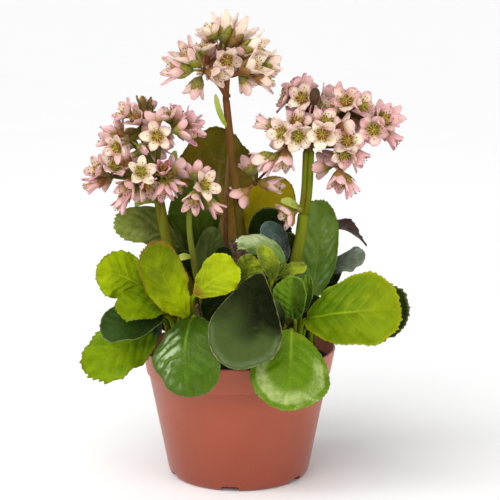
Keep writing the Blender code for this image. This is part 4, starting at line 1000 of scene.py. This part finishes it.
def add_dead_bud(petals, greens):
    """A dark dead bud on its own stalk, wrapped in five lobes."""
    tube(greens, bezier(DEAD_BUD, np.linspace(0, 1, 6)), np.linspace(1.0, 0.9, 6), 7, 0, (0, 1, 0.8, 1))
    foot, paint = np.array(DEAD_BUD[-1]), (0.5, 0.5, -2, 1)
    ball(petals, foot + (0.4, 0, 4.2), (0.15, 0, 1), 3.6, 10.5, 0, paint, 10, 7)
    for k in range(PETALS):
        out = direction(72 * k, 0)
        ball(petals, foot + out * 1.6 + (0.2, 0, 2.0), out * 0.35 + (0, 0, 1), 1.5, 8.0, 0, paint, 7, 5)


def head_piece(name, looks, rolls, draw):
    """A flower head in three pieces: petals, green and dark parts, and stamens with the pistils."""
    head, slim = HEADS[name], SLIM[name]
    shapes = petals, greens, inner = Shape(), Shape(), Shape()
    add_branches(greens, name, draw)
    for number, (hub, flowers) in enumerate(head["clusters"]):
        ball(greens, hub, (0, 0, 1), NODE_RADIUS, NODE_RADIUS * 2, 0, (0.5, 0.5, 0.8, 1), 8, 4)
        flowers = cluster_flowers(number, flowers)
        more = fillers(hub, head["trunk"], flowers, FILLERS[name], draw)
        for row in flowers:
            flower(*shapes, hub, *row, rolls.uniform(0, math.tau), slim, draw)
        for row in more:
            flower(*shapes, hub, *row, draw.uniform(0, math.tau), slim, draw)
    if name == "right":
        for row in LOOSE_FLOWERS:
            flower(*shapes, LOOSE_HUB, *row, rolls.uniform(0, math.tau), 0.8, draw)
        ball(greens, LOOSE_HUB, (0, 0, 1), 2.4, 5.0, 1, (0.5, 0.2, 0.5, 1), 8, 4)
        add_dead_bud(petals, greens)
    node = ["flowers_" + name]
    petals.build("petals_" + name, [looks["petal"]], "petals", node)
    greens.build("branches_" + name, [looks["branch_" + name], looks["calyx"]], "flower_stem", node)
    inner.build("stamens_" + name, [looks["filament"], looks["anther"], looks["pistil"]], "petals", node)


# ---- stems, rhizomes, soil and pot


def scape_piece(name, looks, draw):
    """A flower stem with its bracts. The right one splits into two strands."""
    points, low, high = SCAPES[name]
    shape = Shape()
    line = flowing(points, 40)
    radii = np.linspace(low, high, 40)
    if name == "right":
        tube(shape, line[: FORK + 1], radii[: FORK + 1], 18, 0, (0, 0.3, 0, 1), (9, 0.03))
        strand = line[FORK - 3 :]
        ease = smoothstep(0, 6, np.arange(len(strand)))[:, None]
        for shift, radius, tone in (((-1.9, -0.6, 0), 1.75, 0.9), ((1.7, 0.3, 0), 2.25, 0.15)):
            radii = np.full(len(strand), radius)
            tube(shape, strand + ease * shift, radii, 12, 0, (0, tone, 0, 1), (5, 0.03))
    else:
        tube(shape, line, radii, 18, 0, (0, draw.uniform(0.2, 0.8), 0, 1), (9, 0.03))
    for stem, foot, *curve in BRACTS:
        if stem == name:
            leaf = Leaf(("soil", *foot[:2]), foot, *curve, 25, 70, 8, LOOKS["bract"], draw)
            blade(shape, leaf, 16, 10, 1)
    shape.build("stem_" + name, [looks["scape_" + name], looks["leaf_bract"]], "flower_stem",
                ["scape_" + name])


def rhizome_piece(name, looks, draw):
    """A woody rhizome with ring scars, and dry brown scales at its top."""
    shape = Shape()
    samples, sides = 60, 28
    line = rhizome_line(name, samples)
    t = np.linspace(0, 1, samples)
    radius = RHIZOMES[name][3]
    rings = np.interp(t * 5, range(6), [1.0 - 0.03 * i + (0.06 if i % 2 else -0.02) for i in range(6)])
    rings = rings * (1 + 0.035 * np.abs(np.sin(t * 31)) - 0.02)
    tube(shape, line, radius * rings, sides, 0, (0, 0.5, 0, 1), (7, 0.03))
    t, w = np.linspace(0, 1, 7), np.linspace(-1, 1, 5)
    r = radius * 0.93 + 2.4 * t**2
    for k in range(SCALES[name]):
        out, side = direction(GOLDEN_ANGLE * k, 0), direction(GOLDEN_ANGLE * k + 90, 0)
        base = line[-1] - (0, 0, draw.uniform(2, 14))
        reach = draw.uniform(7, 12) + (4 if name == "rhizome_centre" else 0)
        half = draw.uniform(2.2, 3.6) * np.sqrt(1.02 - t**2)
        grid = (base + (r[:, None] - 0.3 * w[None, :] ** 2 * half[:, None])[..., None] * out
                + np.outer(half, w)[..., None] * side + (t * reach)[:, None, None] * np.array([0, 0, 1.0]))
        paint = np.zeros((7, 5, 4))
        paint[..., 0], paint[..., 1] = t[:, None], draw.uniform(0, 1)
        closed_sheet(shape, grid, SCALE_THICKNESS, 1, paint, out)
    shape.build("crown_" + name, [looks["bark"], looks["dry_scale"]], "bark", [name])


def wall_radius(height):
    """The outer radius of the pot's wall below its band."""
    return FOOT_RADIUS + (BAND_RADIUS - BAND_STEP - FOOT_RADIUS) * height / BAND_FOOT


def turned(shape, rings, sides, paint=(0, 0, 0, 1), flip=False):
    """A closed body turned from rings of (radius, height, or one height for each side)."""
    turn = np.linspace(0, math.tau, sides, endpoint=False)
    points = [(r * math.cos(a), r * math.sin(a), h)
              for r, z in rings for a, h in zip(turn, np.broadcast_to(z, sides))]
    faces = grid_faces(len(rings), sides, wrap=True, flip=flip)
    first, last = tuple(range(sides)), tuple(range((len(rings) - 1) * sides, len(rings) * sides))
    shape.add(points, faces + ([first, last[::-1]] if flip else [first[::-1], last]), 0, paint)


def soil_piece(looks, draw):
    """The soil: a rough heap inside the pot, with crumbs of peat lying on it."""
    floor = FLOOR_TOP + GAP
    inside = POT_WALL + GAP
    top_radius = BAND_RADIUS + (RIM_RADIUS - BAND_RADIUS) * (SOIL_LEVEL - BAND_FOOT) / BAND_HEIGHT
    edge = top_radius - inside
    turn = np.linspace(0, math.tau, SOIL_SIDES, endpoint=False)
    rings = []
    for r in [*np.linspace(1.5, edge - 1.5, 40), edge - 0.3]:
        swell = np.interp(r, (0, 0.5 * top_radius, edge - 2, edge), (2.0, 1.5, 0.0, -0.8))
        rough = 0.5 * np.sin(r * 1.7 + 3 * turn) * np.sin(7 * turn + r * 0.4)
        rough += np.array([draw.uniform(-0.5, 0.5) for _ in range(SOIL_SIDES)])
        fade = 1 - smoothstep(edge - 6, edge, r)
        rings.append((r, SOIL_LEVEL + swell + rough * (0.3 + 0.7 * fade) - 0.3))
    rings += [(BAND_RADIUS - inside - 0.3, BAND_FOOT + 1.5),
              (wall_radius(BAND_FOOT) - inside, BAND_FOOT - 0.5),
              (wall_radius(floor) - inside - 1.6, floor)]
    shape = Shape()
    turned(shape, rings, SOIL_SIDES, (0, 0.5, 0, 1), flip=True)
    for _ in range(CRUMBS):
        r, a = (edge - 3) * math.sqrt(draw.uniform(0, 1)), draw.uniform(0, math.tau)
        size = draw.uniform(0.5, 1.6)
        centre = (r * math.cos(a), r * math.sin(a), SOIL_LEVEL + 1.6 * (1 - r / edge) + size * 0.2)
        axis = (draw.uniform(-1, 1), draw.uniform(-1, 1), draw.uniform(-0.3, 0.3) + 1e-3)
        stretch = draw.uniform(1.6, 3.5)
        ball(shape, centre, axis, size * 0.7, size * stretch, 0, (0, draw.uniform(0, 1), 0, 1), 6, 3)
    shape.build("soil_surface", [looks["peat"]], "peat", ["soil"])


def pot_profile():
    """(Radius, height) round the pot's wall: up its inside, over the rim, down outside, under the foot."""
    disc, ring = RECESS_RADII
    wall = [(FLOOR_TOP, FLOOR_TOP, -POT_WALL - 2.0), (FLOOR_TOP + 0.5, FLOOR_TOP + 0.4, -POT_WALL - 0.8),
            (FLOOR_TOP + 1.8, FLOOR_TOP + 1.8, -POT_WALL), (BAND_FOOT, BAND_FOOT, -POT_WALL)]
    inside = [(wall_radius(at) + shift, height) for at, height, shift in wall]
    inner, top = RIM_RADIUS - POT_WALL, POT_HEIGHT
    collar = [(BAND_RADIUS - POT_WALL, BAND_FOOT + 1.5), (inner, top - 1.0), (inner + 0.2, top - 0.3),
              (inner + 0.6, top), (RIM_RADIUS - 0.6, top), (RIM_RADIUS - 0.15, top - 0.3),
              (RIM_RADIUS, top - 0.9), (RIM_RADIUS - 0.15, top - 1.6), (BAND_RADIUS + 0.1, BAND_FOOT + 1.2),
              (BAND_RADIUS, BAND_FOOT + 0.5), (BAND_RADIUS - 0.5, BAND_FOOT + 0.05)]
    wall = [(BAND_FOOT, BAND_FOOT - 0.1, 0.35), (BAND_FOOT, BAND_FOOT - 0.6, 0), (40, 40, 0), (5, 5, 0),
            (2.6, 2.6, -0.25), (1.2, 1.2, -0.8), (0.4, 0.35, -1.5), (0, 0, -2.4)]
    outside = [(wall_radius(at) + shift, height) for at, height, shift in wall]
    under = [(ring + 0.5, 0), (ring, 0.4), (ring - 0.2, FLOOR_RECESS), (disc + 0.5, FLOOR_RECESS),
             (disc, 0.2), (disc - 0.4, 0), (0.01, 0)]
    return [(0.01, FLOOR_TOP)] + inside + collar + outside + under


def foot_notch(bearing):
    """A cutter across the foot ring, with chamfered upper corners."""
    out, side = direction(bearing, 0), direction(bearing + 90, 0)
    outline = [(-0.5, 0), (-0.5, 0.75), (-0.38, 1), (0.38, 1), (0.5, 0.75), (0.5, 0)]
    ends = [out * r + side * NOTCH_WIDTH * y + np.array([0, 0, NOTCH_HEIGHT * z if z else -3.0])
            for r in (FOOT_RADIUS - 7, FOOT_RADIUS + 7) for y, z in outline]
    count = len(outline)
    sides = [(k, (k + 1) % count, count + (k + 1) % count, count + k) for k in range(count)]
    cutter = Shape()
    cutter.add(ends, sides + [tuple(range(count))[::-1], tuple(range(count, 2 * count))])
    return cutter


def pot_piece(looks):
    """The pot turned in many steps, with its foot notches and drain holes cut."""
    shape = Shape()
    turned(shape, pot_profile(), POT_STEPS)
    pot = shape.build("pot_wall", [looks["terracotta_plastic"]], "terracotta_plastic", ["pot"])
    cutters = bpy.data.collections.new("pot_cutters")
    bpy.context.scene.collection.children.link(cutters)
    for i in range(NOTCHES):
        add_cutter(foot_notch(NOTCH_BEARING + 360 * i / NOTCHES), f"foot_notch_{i}", cutters)
    for i in range(DRAIN_HOLES):
        angle = math.tau * i / DRAIN_HOLES
        centre = np.array([math.cos(angle), math.sin(angle), 0]) * DRAIN_CIRCLE
        cutter = Shape()
        tube(cutter, [centre - (0, 0, 8), centre + (0, 0, 8)], (DRAIN_RADIUS, DRAIN_RADIUS), 24, 0,
             (0, 0, 0, 1))
        add_cutter(cutter, f"drain_hole_{i}", cutters)
    cut = pot.modifiers.new("cut", "BOOLEAN")
    cut.operation = "DIFFERENCE"
    cut.operand_type = "COLLECTION"
    cut.collection = cutters
    cut.solver = "EXACT"
    bpy.context.view_layer.update()
    baked = bpy.data.meshes.new_from_object(pot.evaluated_get(bpy.context.evaluated_depsgraph_get()))
    pot.modifiers.clear()
    pot.data = baked
    for other in list(cutters.objects):
        bpy.data.objects.remove(other, do_unlink=True)
    bpy.data.collections.remove(cutters)
    pot.data.set_sharp_from_angle(angle=SHARP_ANGLE)


def add_cutter(shape, name, collection):
    mesh = bpy.data.meshes.new(name)
    mesh.from_pydata((np.vstack(shape.points) * MM).tolist(), [], shape.faces)
    bm = bmesh.new()
    bm.from_mesh(mesh)
    bmesh.ops.recalc_face_normals(bm, faces=bm.faces)
    bm.to_mesh(mesh)
    bm.free()
    collection.objects.link(bpy.data.objects.new(name, mesh))


# ---- materials


class Wire:
    """A value in a node graph, so that materials can be written as sums."""

    def __init__(self, graph, socket):
        self.graph, self.socket = graph, socket

    def __add__(self, other):
        return self.graph.math("ADD", self, other)

    def __sub__(self, other):
        return self.graph.math("SUBTRACT", self, other)

    def __rsub__(self, other):
        return self.graph.math("SUBTRACT", other, self)

    def __mul__(self, other):
        return self.graph.math("MULTIPLY", self, other)

    def __pow__(self, other):
        return self.graph.math("POWER", self, other)

    def __abs__(self):
        return self.graph.math("ABSOLUTE", self)

    def most(self, other):
        return self.graph.math("MAXIMUM", self, other)

    def pingpong(self, scale):
        return self.graph.math("PINGPONG", self, scale)

    def smooth(self, low, high, start=0.0, end=1.0):
        """From start, where the value is low, to end, where it is high."""
        node = self.graph.add("ShaderNodeMapRange", interpolation_type="SMOOTHSTEP")
        for socket, value in zip(node.inputs, (self, low, high, start, end)):
            self.graph.feed(socket, value)
        return Wire(self.graph, node.outputs[0])


class Graph:
    """A Principled material built node by node."""

    def __init__(self, name):
        self.material = bpy.data.materials.new(name)
        self.material.use_nodes = True
        self.tree = self.material.node_tree
        self.shader = self.tree.nodes["Principled BSDF"]

    def add(self, kind, **settings):
        node = self.tree.nodes.new(kind)
        for key, value in settings.items():
            setattr(node, key, value)
        return node

    def feed(self, socket, value):
        if isinstance(value, Wire):
            self.tree.links.new(value.socket, socket)
        elif isinstance(value, tuple) and len(value) == 3 and socket.type == "RGBA":
            socket.default_value = (*value, 1)
        else:
            socket.default_value = value

    def math(self, operation, first, second=0.0):
        node = self.add("ShaderNodeMath", operation=operation)
        self.feed(node.inputs[0], first)
        self.feed(node.inputs[1], second)
        return Wire(self, node.outputs[0])

    def mix(self, factor, first, second):
        node = self.add("ShaderNodeMix", data_type="RGBA")
        for number, value in ((0, factor), (6, first), (7, second)):
            self.feed(node.inputs[number], value)
        return Wire(self, node.outputs[2])

    def noise(self, scale, detail=3.0, vector=None, roughness=0.55):
        node = self.add("ShaderNodeTexNoise")
        self.feed(node.inputs["Vector"], vector or self.place())
        for name, value in (("Scale", scale), ("Detail", detail), ("Roughness", roughness)):
            node.inputs[name].default_value = value
        return Wire(self, node.outputs["Fac"])

    def cell_edges(self, scale):
        """How far a point is from the edge of its cell."""
        node = self.add("ShaderNodeTexVoronoi", feature="DISTANCE_TO_EDGE")
        self.feed(node.inputs["Vector"], self.place())
        node.inputs["Scale"].default_value = scale
        return Wire(self, node.outputs["Distance"])

    def place(self):
        return Wire(self, self.add("ShaderNodeTexCoord").outputs["Object"])

    def height(self):
        node = self.add("ShaderNodeSeparateXYZ")
        self.feed(node.inputs[0], self.place())
        return Wire(self, node.outputs["Z"])

    def stretched(self, scale):
        node = self.add("ShaderNodeMapping")
        self.feed(node.inputs["Vector"], self.place())
        node.inputs["Scale"].default_value = scale
        return Wire(self, node.outputs[0])

    def paint(self):
        """The four painted values of each vertex."""
        node = self.add("ShaderNodeAttribute", attribute_name="paint")
        split = self.add("ShaderNodeSeparateColor")
        self.feed(split.inputs[0], Wire(self, node.outputs["Color"]))
        return [Wire(self, socket) for socket in (*split.outputs[:3], node.outputs["Alpha"])]

    def finish(self, colour, rough, height=None, strength=0.4, distance=0.5, **constants):
        """Feeds the shader. The relief's distance is in millimetres."""
        self.feed(self.shader.inputs["Base Color"], colour)
        self.feed(self.shader.inputs["Roughness"], rough)
        for name, value in constants.items():
            self.feed(self.shader.inputs[name.replace("_", " ")], value)
        if height is not None:
            bump = self.add("ShaderNodeBump")
            bump.inputs["Strength"].default_value = strength
            bump.inputs["Distance"].default_value = distance * MM
            self.feed(bump.inputs["Height"], height)
            self.feed(self.shader.inputs["Normal"], Wire(self, bump.outputs[0]))
        return self.material


def leaf_material(name, look):
    """A leaf. Its paint is the place on the blade: along, across, radius and 1 on the upper face."""
    near, far, vein = look["near"], look["far"], look["vein"]
    g = Graph(name)
    x, y, radius, upper = g.paint()
    signed = y * 2.0 - 1.0
    aside = abs(signed)
    patches, cells = g.noise(55, 4), g.noise(210, 5)
    wander = (patches - 0.5) * look["wander"]
    along = x + wander

    # veins
    drift = (g.noise(90, 2) - 0.5) * 1.1
    gap = (x * VEINS + aside**1.25 * -VEIN_SWEEP + drift).pingpong(0.5)
    side_veins = gap.smooth(0.0, 0.11, 1.0, 0.0) * radius.smooth(0.45, 0.95, 1.0, 0.0)
    wide, end = look["midrib"], look["midrib_end"]
    midrib = aside.smooth(0.012 * wide, 0.05 * wide, 1.0, 0.0) * x.smooth(0.35 * end, end, 1.0, 0.1)
    net = g.cell_edges(520).smooth(0.0, 0.12, 1.0, 0.0)

    colour = g.mix(along.smooth(0.15, 0.85), near, far)
    # One half of the blade in another colour; on the dull and cup looks this is painted shade.
    if look["half"]:
        side, tone, share = look["half"]
        reach = look["half_reach"]
        over = (signed * side + wander).smooth(*look["half_edge"]) * along.smooth(reach + 0.3, reach)
        colour = g.mix(over * share, colour, tone)
    colour = g.mix(cells.smooth(0.42, 0.72) * look["mottle"], colour, tuple(0.62 * c for c in near))
    colour = g.mix(cells.smooth(0.5, 0.25) * look["mottle"], colour, tuple(min(1.0, 1.3 * c) for c in far))
    colour = g.mix(side_veins * (0.6 * look["vein_share"]), colour, vein)
    # Painted gloss highlights: pale streaks between the side veins of one half.
    if look["streaks"]:
        side, tone, share = look["streaks"]
        over = gap.smooth(0.12, 0.32) * (signed * side + wander).smooth(0.1, 0.5)
        over = over * radius.smooth(0.95, 0.7) * cells.smooth(0.35, 0.6)
        colour = g.mix(over * share, colour, tone)
    colour = g.mix(midrib * look["midrib_share"], colour, vein)
    colour = g.mix(net * 0.1, colour, vein)
    # The patch by the stalk: painted shade on the glossy and dull looks, the leaf's own colour on the
    # others.
    foot = (along - midrib * 0.05).smooth(0.0, look["patch_reach"], 1.0, 0.0)
    colour = g.mix(foot * look["patch_share"], colour, look["patch"])
    ragged_radius = radius + (cells - 0.5) * 0.12
    # Painted sheen: a pale band inside the rim stands in for a gloss reflection.
    if look["band"]:
        tone, share, inner, start, grain = look["band"]
        end = look["band_end"]
        ring = ragged_radius.smooth(inner, inner + 0.2) * ragged_radius.smooth(end + 0.08, end)
        ring = ring * along.smooth(start, start + 0.3)
        ring = ring * g.noise(260, 4).smooth(0.38, 0.58, 1.0 - grain, 1.0)
        ring = ring * patches.smooth(0.35, 0.55, 0.45, 1.0)
        colour = g.mix(ring * share, colour, tone)
    rim = look["rim_at"]
    colour = g.mix(ragged_radius.smooth(rim, rim + 0.05) * look["rim_share"], colour, look["rim"])
    colour = g.mix(upper.smooth(0.3, 0.7), look["back"], colour)
    height = g.noise(700, 3) * 0.3 - (side_veins * 0.45).most(midrib) * 0.8 - net * 0.3
    return g.finish(colour, patches * 0.24 + (look["rough"] - 0.12), height, 0.5, 0.35,
                    Specular_IOR_Level=look["spec"], Specular_Tint=look["tint"])


def stem_material(name, low, high, red):
    """Stems: one colour at the foot and another at the top, reddened in streaks."""
    g = Graph(name)
    along, tone, _, _ = g.paint()
    streaks = g.noise(60, 4, g.stretched((12.0, 12.0, 0.8)))
    colour = g.mix(along.smooth(0.05, 0.95), low, high)
    colour = g.mix(streaks.smooth(0.42, 0.68) * tone.smooth(0.0, 1.0, 0.2, 0.85), colour, red)
    colour = g.mix(g.noise(900, 2) * 0.25, colour, tuple(0.45 * c for c in low))
    return g.finish(colour, streaks * 0.2 + 0.5, g.noise(400, 3, g.stretched((3.0, 3.0, 0.4))), 0.35, 0.3,
                    Specular_IOR_Level=0.03, Specular_Tint=(1.0, 1.0, 0.4))


def petal_material():
    """Petals from cream to rose by their tint. A tint below 0 is a dried petal, and -2 a dead bud."""
    g = Graph("petal")
    along, across, tint, upper = g.paint()
    aside = abs(across * 2.0 - 1.0)
    blend = tint + (g.noise(120, 3) - 0.5) * 0.7
    colour = g.mix(blend.smooth(0.15, 0.75), srgb(236, 224, 197), srgb(226, 185, 177))
    colour = g.mix(blend.smooth(0.75, 1.05), colour, srgb(208, 118, 146))
    flush = g.noise(105, 4).smooth(0.47, 0.61) * blend.smooth(0.0, 0.5, 0.2, 0.68)
    colour = g.mix(flush, colour, srgb(198, 128, 144))
    colour = g.mix(g.noise(230, 4).smooth(0.45, 0.75) * 0.5, colour, srgb(190, 152, 98))
    rim = aside.smooth(0.6, 1.0).most(along.smooth(0.82, 1.0)) * blend.smooth(0.0, 0.5, 0.22, 0.6)
    colour = g.mix(rim, colour, srgb(184, 106, 136))
    lines = (across * 4.5 + g.noise(160, 2) * 0.5).pingpong(0.5)
    lines = lines.smooth(0.0, 0.12, 1.0, 0.0) * along.smooth(0.35, 0.95, 0.62, 0.0)
    colour = g.mix(lines, colour, srgb(168, 88, 78))
    colour = g.mix(along.smooth(0.18, 0.58, 1.0, 0.0) * 0.85, colour, srgb(166, 150, 30))
    back = g.mix(along.smooth(0.1, 0.8), srgb(168, 110, 76), srgb(220, 176, 174))
    colour = g.mix((1.0 - upper) * tint.smooth(0.0, 0.5, 0.15, 0.65), colour, back)
    dry = g.mix(g.noise(300, 3).smooth(0.4, 0.65), srgb(128, 104, 44), srgb(78, 58, 34))
    dry = g.mix(tint.smooth(-1.2, -1.8), dry, srgb(64, 40, 16))
    colour = g.mix(tint.smooth(-0.3, -0.6), colour, dry)
    height = g.noise(1400, 2) + g.noise(260, 2) * 1.5
    return g.finish(colour, g.noise(200, 2) * 0.2 + 0.5, height, 0.25, 0.2, Specular_IOR_Level=0.25)


def mottled(name, first, second, third, scale, rough, bump, distance):
    """Three colours in patches, with matching roughness and relief."""
    g = Graph(name)
    patches, grains = g.noise(scale, 4), g.noise(scale * 5, 3)
    colour = g.mix(patches.smooth(0.35, 0.65), first, second)
    colour = g.mix(grains.smooth(0.55, 0.75), colour, third)
    return g.finish(colour, grains * 0.2 + (rough - 0.1), patches + grains, bump, distance)


def calyx_material():
    g = Graph("calyx")
    along, tone, kind, _ = g.paint()
    warm = tone * 0.6 + g.noise(160, 3)
    colour = g.mix(along.smooth(0.1, 0.7), srgb(84, 86, 18), srgb(124, 120, 28))
    colour = g.mix(warm.smooth(0.6, 1.2), colour, srgb(142, 78, 40))
    colour = g.mix(kind.smooth(0.3, 0.1) * 0.5, colour, srgb(96, 56, 34))
    return g.finish(colour, warm * 0.1 + 0.45, g.noise(900, 2), 0.4, 0.25)


def pot_material():
    """Terracotta-coloured plastic: fine speckle, faint moulding marks and scuffs, with painted shade
    towards the foot and painted light on the band.
    """
    g = Graph("terracotta_plastic")
    clouds, specks = g.noise(22, 3), g.noise(1600, 2)
    scuffs = g.noise(120, 5, g.stretched((1.0, 1.0, 5.0)), 0.7)
    height = g.height()
    colour = g.mix(clouds.smooth(0.3, 0.7), srgb(150, 66, 34), srgb(142, 60, 30))
    # Painted shade: the wall darker towards the foot.
    colour = g.mix(height.smooth(0.06, 0.0, 0.0, 0.8), colour, srgb(124, 46, 20))
    # Painted light: the band above 70 mm lighter than the wall, against the shade the leaves cast on it.
    colour = g.mix(height.smooth(0.0695, 0.0705, 0.0, 0.5), colour, srgb(176, 84, 56))
    colour = g.mix(specks.smooth(0.5, 0.8) * 0.16, colour, srgb(190, 116, 92))
    colour = g.mix(scuffs.smooth(0.62, 0.8) * 0.3, colour, srgb(200, 140, 122))
    return g.finish(colour, scuffs * 0.25 + 0.34, specks * 0.4 + scuffs, 0.12, 0.15,
                    Sheen_Weight=0.2, Sheen_Roughness=0.4)


def make_looks():
    """All materials by name."""
    looks = {"petal": petal_material(), "calyx": calyx_material(), "terracotta_plastic": pot_material()}
    for name, settings in LOOKS.items():
        looks["leaf_" + name] = leaf_material("leaf_" + name, settings)
    for name, colours in STEMS.items():
        looks[name] = stem_material(name, *(srgb(*colour) for colour in colours))
    for name, row in MOTTLED.items():
        looks[name] = mottled(name, *(srgb(*colour) for colour in row[:3]), *row[3:])
    return looks


# ---- stage


def add_to_scene(name, data):
    made = bpy.data.objects.new(name, data)
    bpy.context.scene.collection.objects.link(made)
    return made


def add_floor():
    mesh = bpy.data.meshes.new("floor")
    turn = np.linspace(0, math.tau, 96, endpoint=False)
    corners = [(FLOOR_RADIUS * math.cos(a), FLOOR_RADIUS * math.sin(a), 0) for a in turn]
    mesh.from_pydata(corners, [], [tuple(range(len(corners)))])
    floor = add_to_scene("floor", mesh)
    g = Graph("floor")
    colour = g.mix(g.noise(3, 2), (0.93, 0.93, 0.93), (0.96, 0.96, 0.96))
    floor.data.materials.append(g.finish(colour, 0.8))


def add_softbox(name, place, size, power):
    light = bpy.data.lights.new(name, "AREA")
    light.shape, light.size, light.energy = "DISK", size, power
    lamp = add_to_scene(name, light)
    lamp.location = place
    lamp.rotation_euler = (Vector(AIM) - Vector(place)).to_track_quat("-Z", "Y").to_euler()


def add_world():
    """White all round, brighter near the horizon than above."""
    world = bpy.data.worlds.new("studio")
    bpy.context.scene.world = world
    world.use_nodes = True
    nodes, links = world.node_tree.nodes, world.node_tree.links
    background = nodes["Background"]
    background.inputs["Color"].default_value = (1, 1, 1, 1)
    way = nodes.new("ShaderNodeTexCoord")
    split = nodes.new("ShaderNodeSeparateXYZ")
    ease = nodes.new("ShaderNodeMapRange")
    ease.interpolation_type = "SMOOTHSTEP"
    for socket, number in zip(ease.inputs[1:5], (0.05, 0.2, 1.0, 0.59)):
        socket.default_value = number
    links.new(way.outputs["Generated"], split.inputs[0])
    links.new(split.outputs["Z"], ease.inputs[0])
    links.new(ease.outputs[0], background.inputs["Strength"])


def add_camera():
    """The camera stands where the photograph was taken from."""
    lens = bpy.data.cameras.new("camera")
    lens.lens = CAMERA_LENS
    lens.sensor_width = 36
    lens.clip_start, lens.clip_end = 0.05, 500
    camera = add_to_scene("camera", lens)
    camera.location = CAMERA_PLACE
    camera.rotation_euler = (math.radians(90 - CAMERA_DOWN), 0, 0)
    bpy.context.scene.camera = camera
    bpy.context.scene.view_settings.view_transform = "Standard"


def add_stage():
    add_floor()
    add_world()
    sun = bpy.data.lights.new("sun", "SUN")
    sun.energy, sun.angle = 2.0, math.radians(60)
    add_to_scene("sun", sun).rotation_euler = Vector(SUN_WAY).to_track_quat("-Z", "Y").to_euler()
    add_softbox("left_softbox", (-1.35, -0.2, 0.6), 0.5, 6)
    add_softbox("right_softbox", (1.0, -1.0, 0.12), 0.5, 9)
    add_camera()


def main():
    looks = make_looks()
    draw = random.Random(11)
    for row in LEAVES:
        leaf_piece(row, looks, draw)
    for name in SCAPES:
        scape_piece(name, looks, draw)
    rolls = random.Random(7)
    for name in HEADS:
        head_piece(name, looks, rolls, draw)
    for name in RHIZOMES:
        rhizome_piece(name, looks, draw)
    soil_piece(looks, draw)
    pot_piece(looks)
    add_stage()


main()
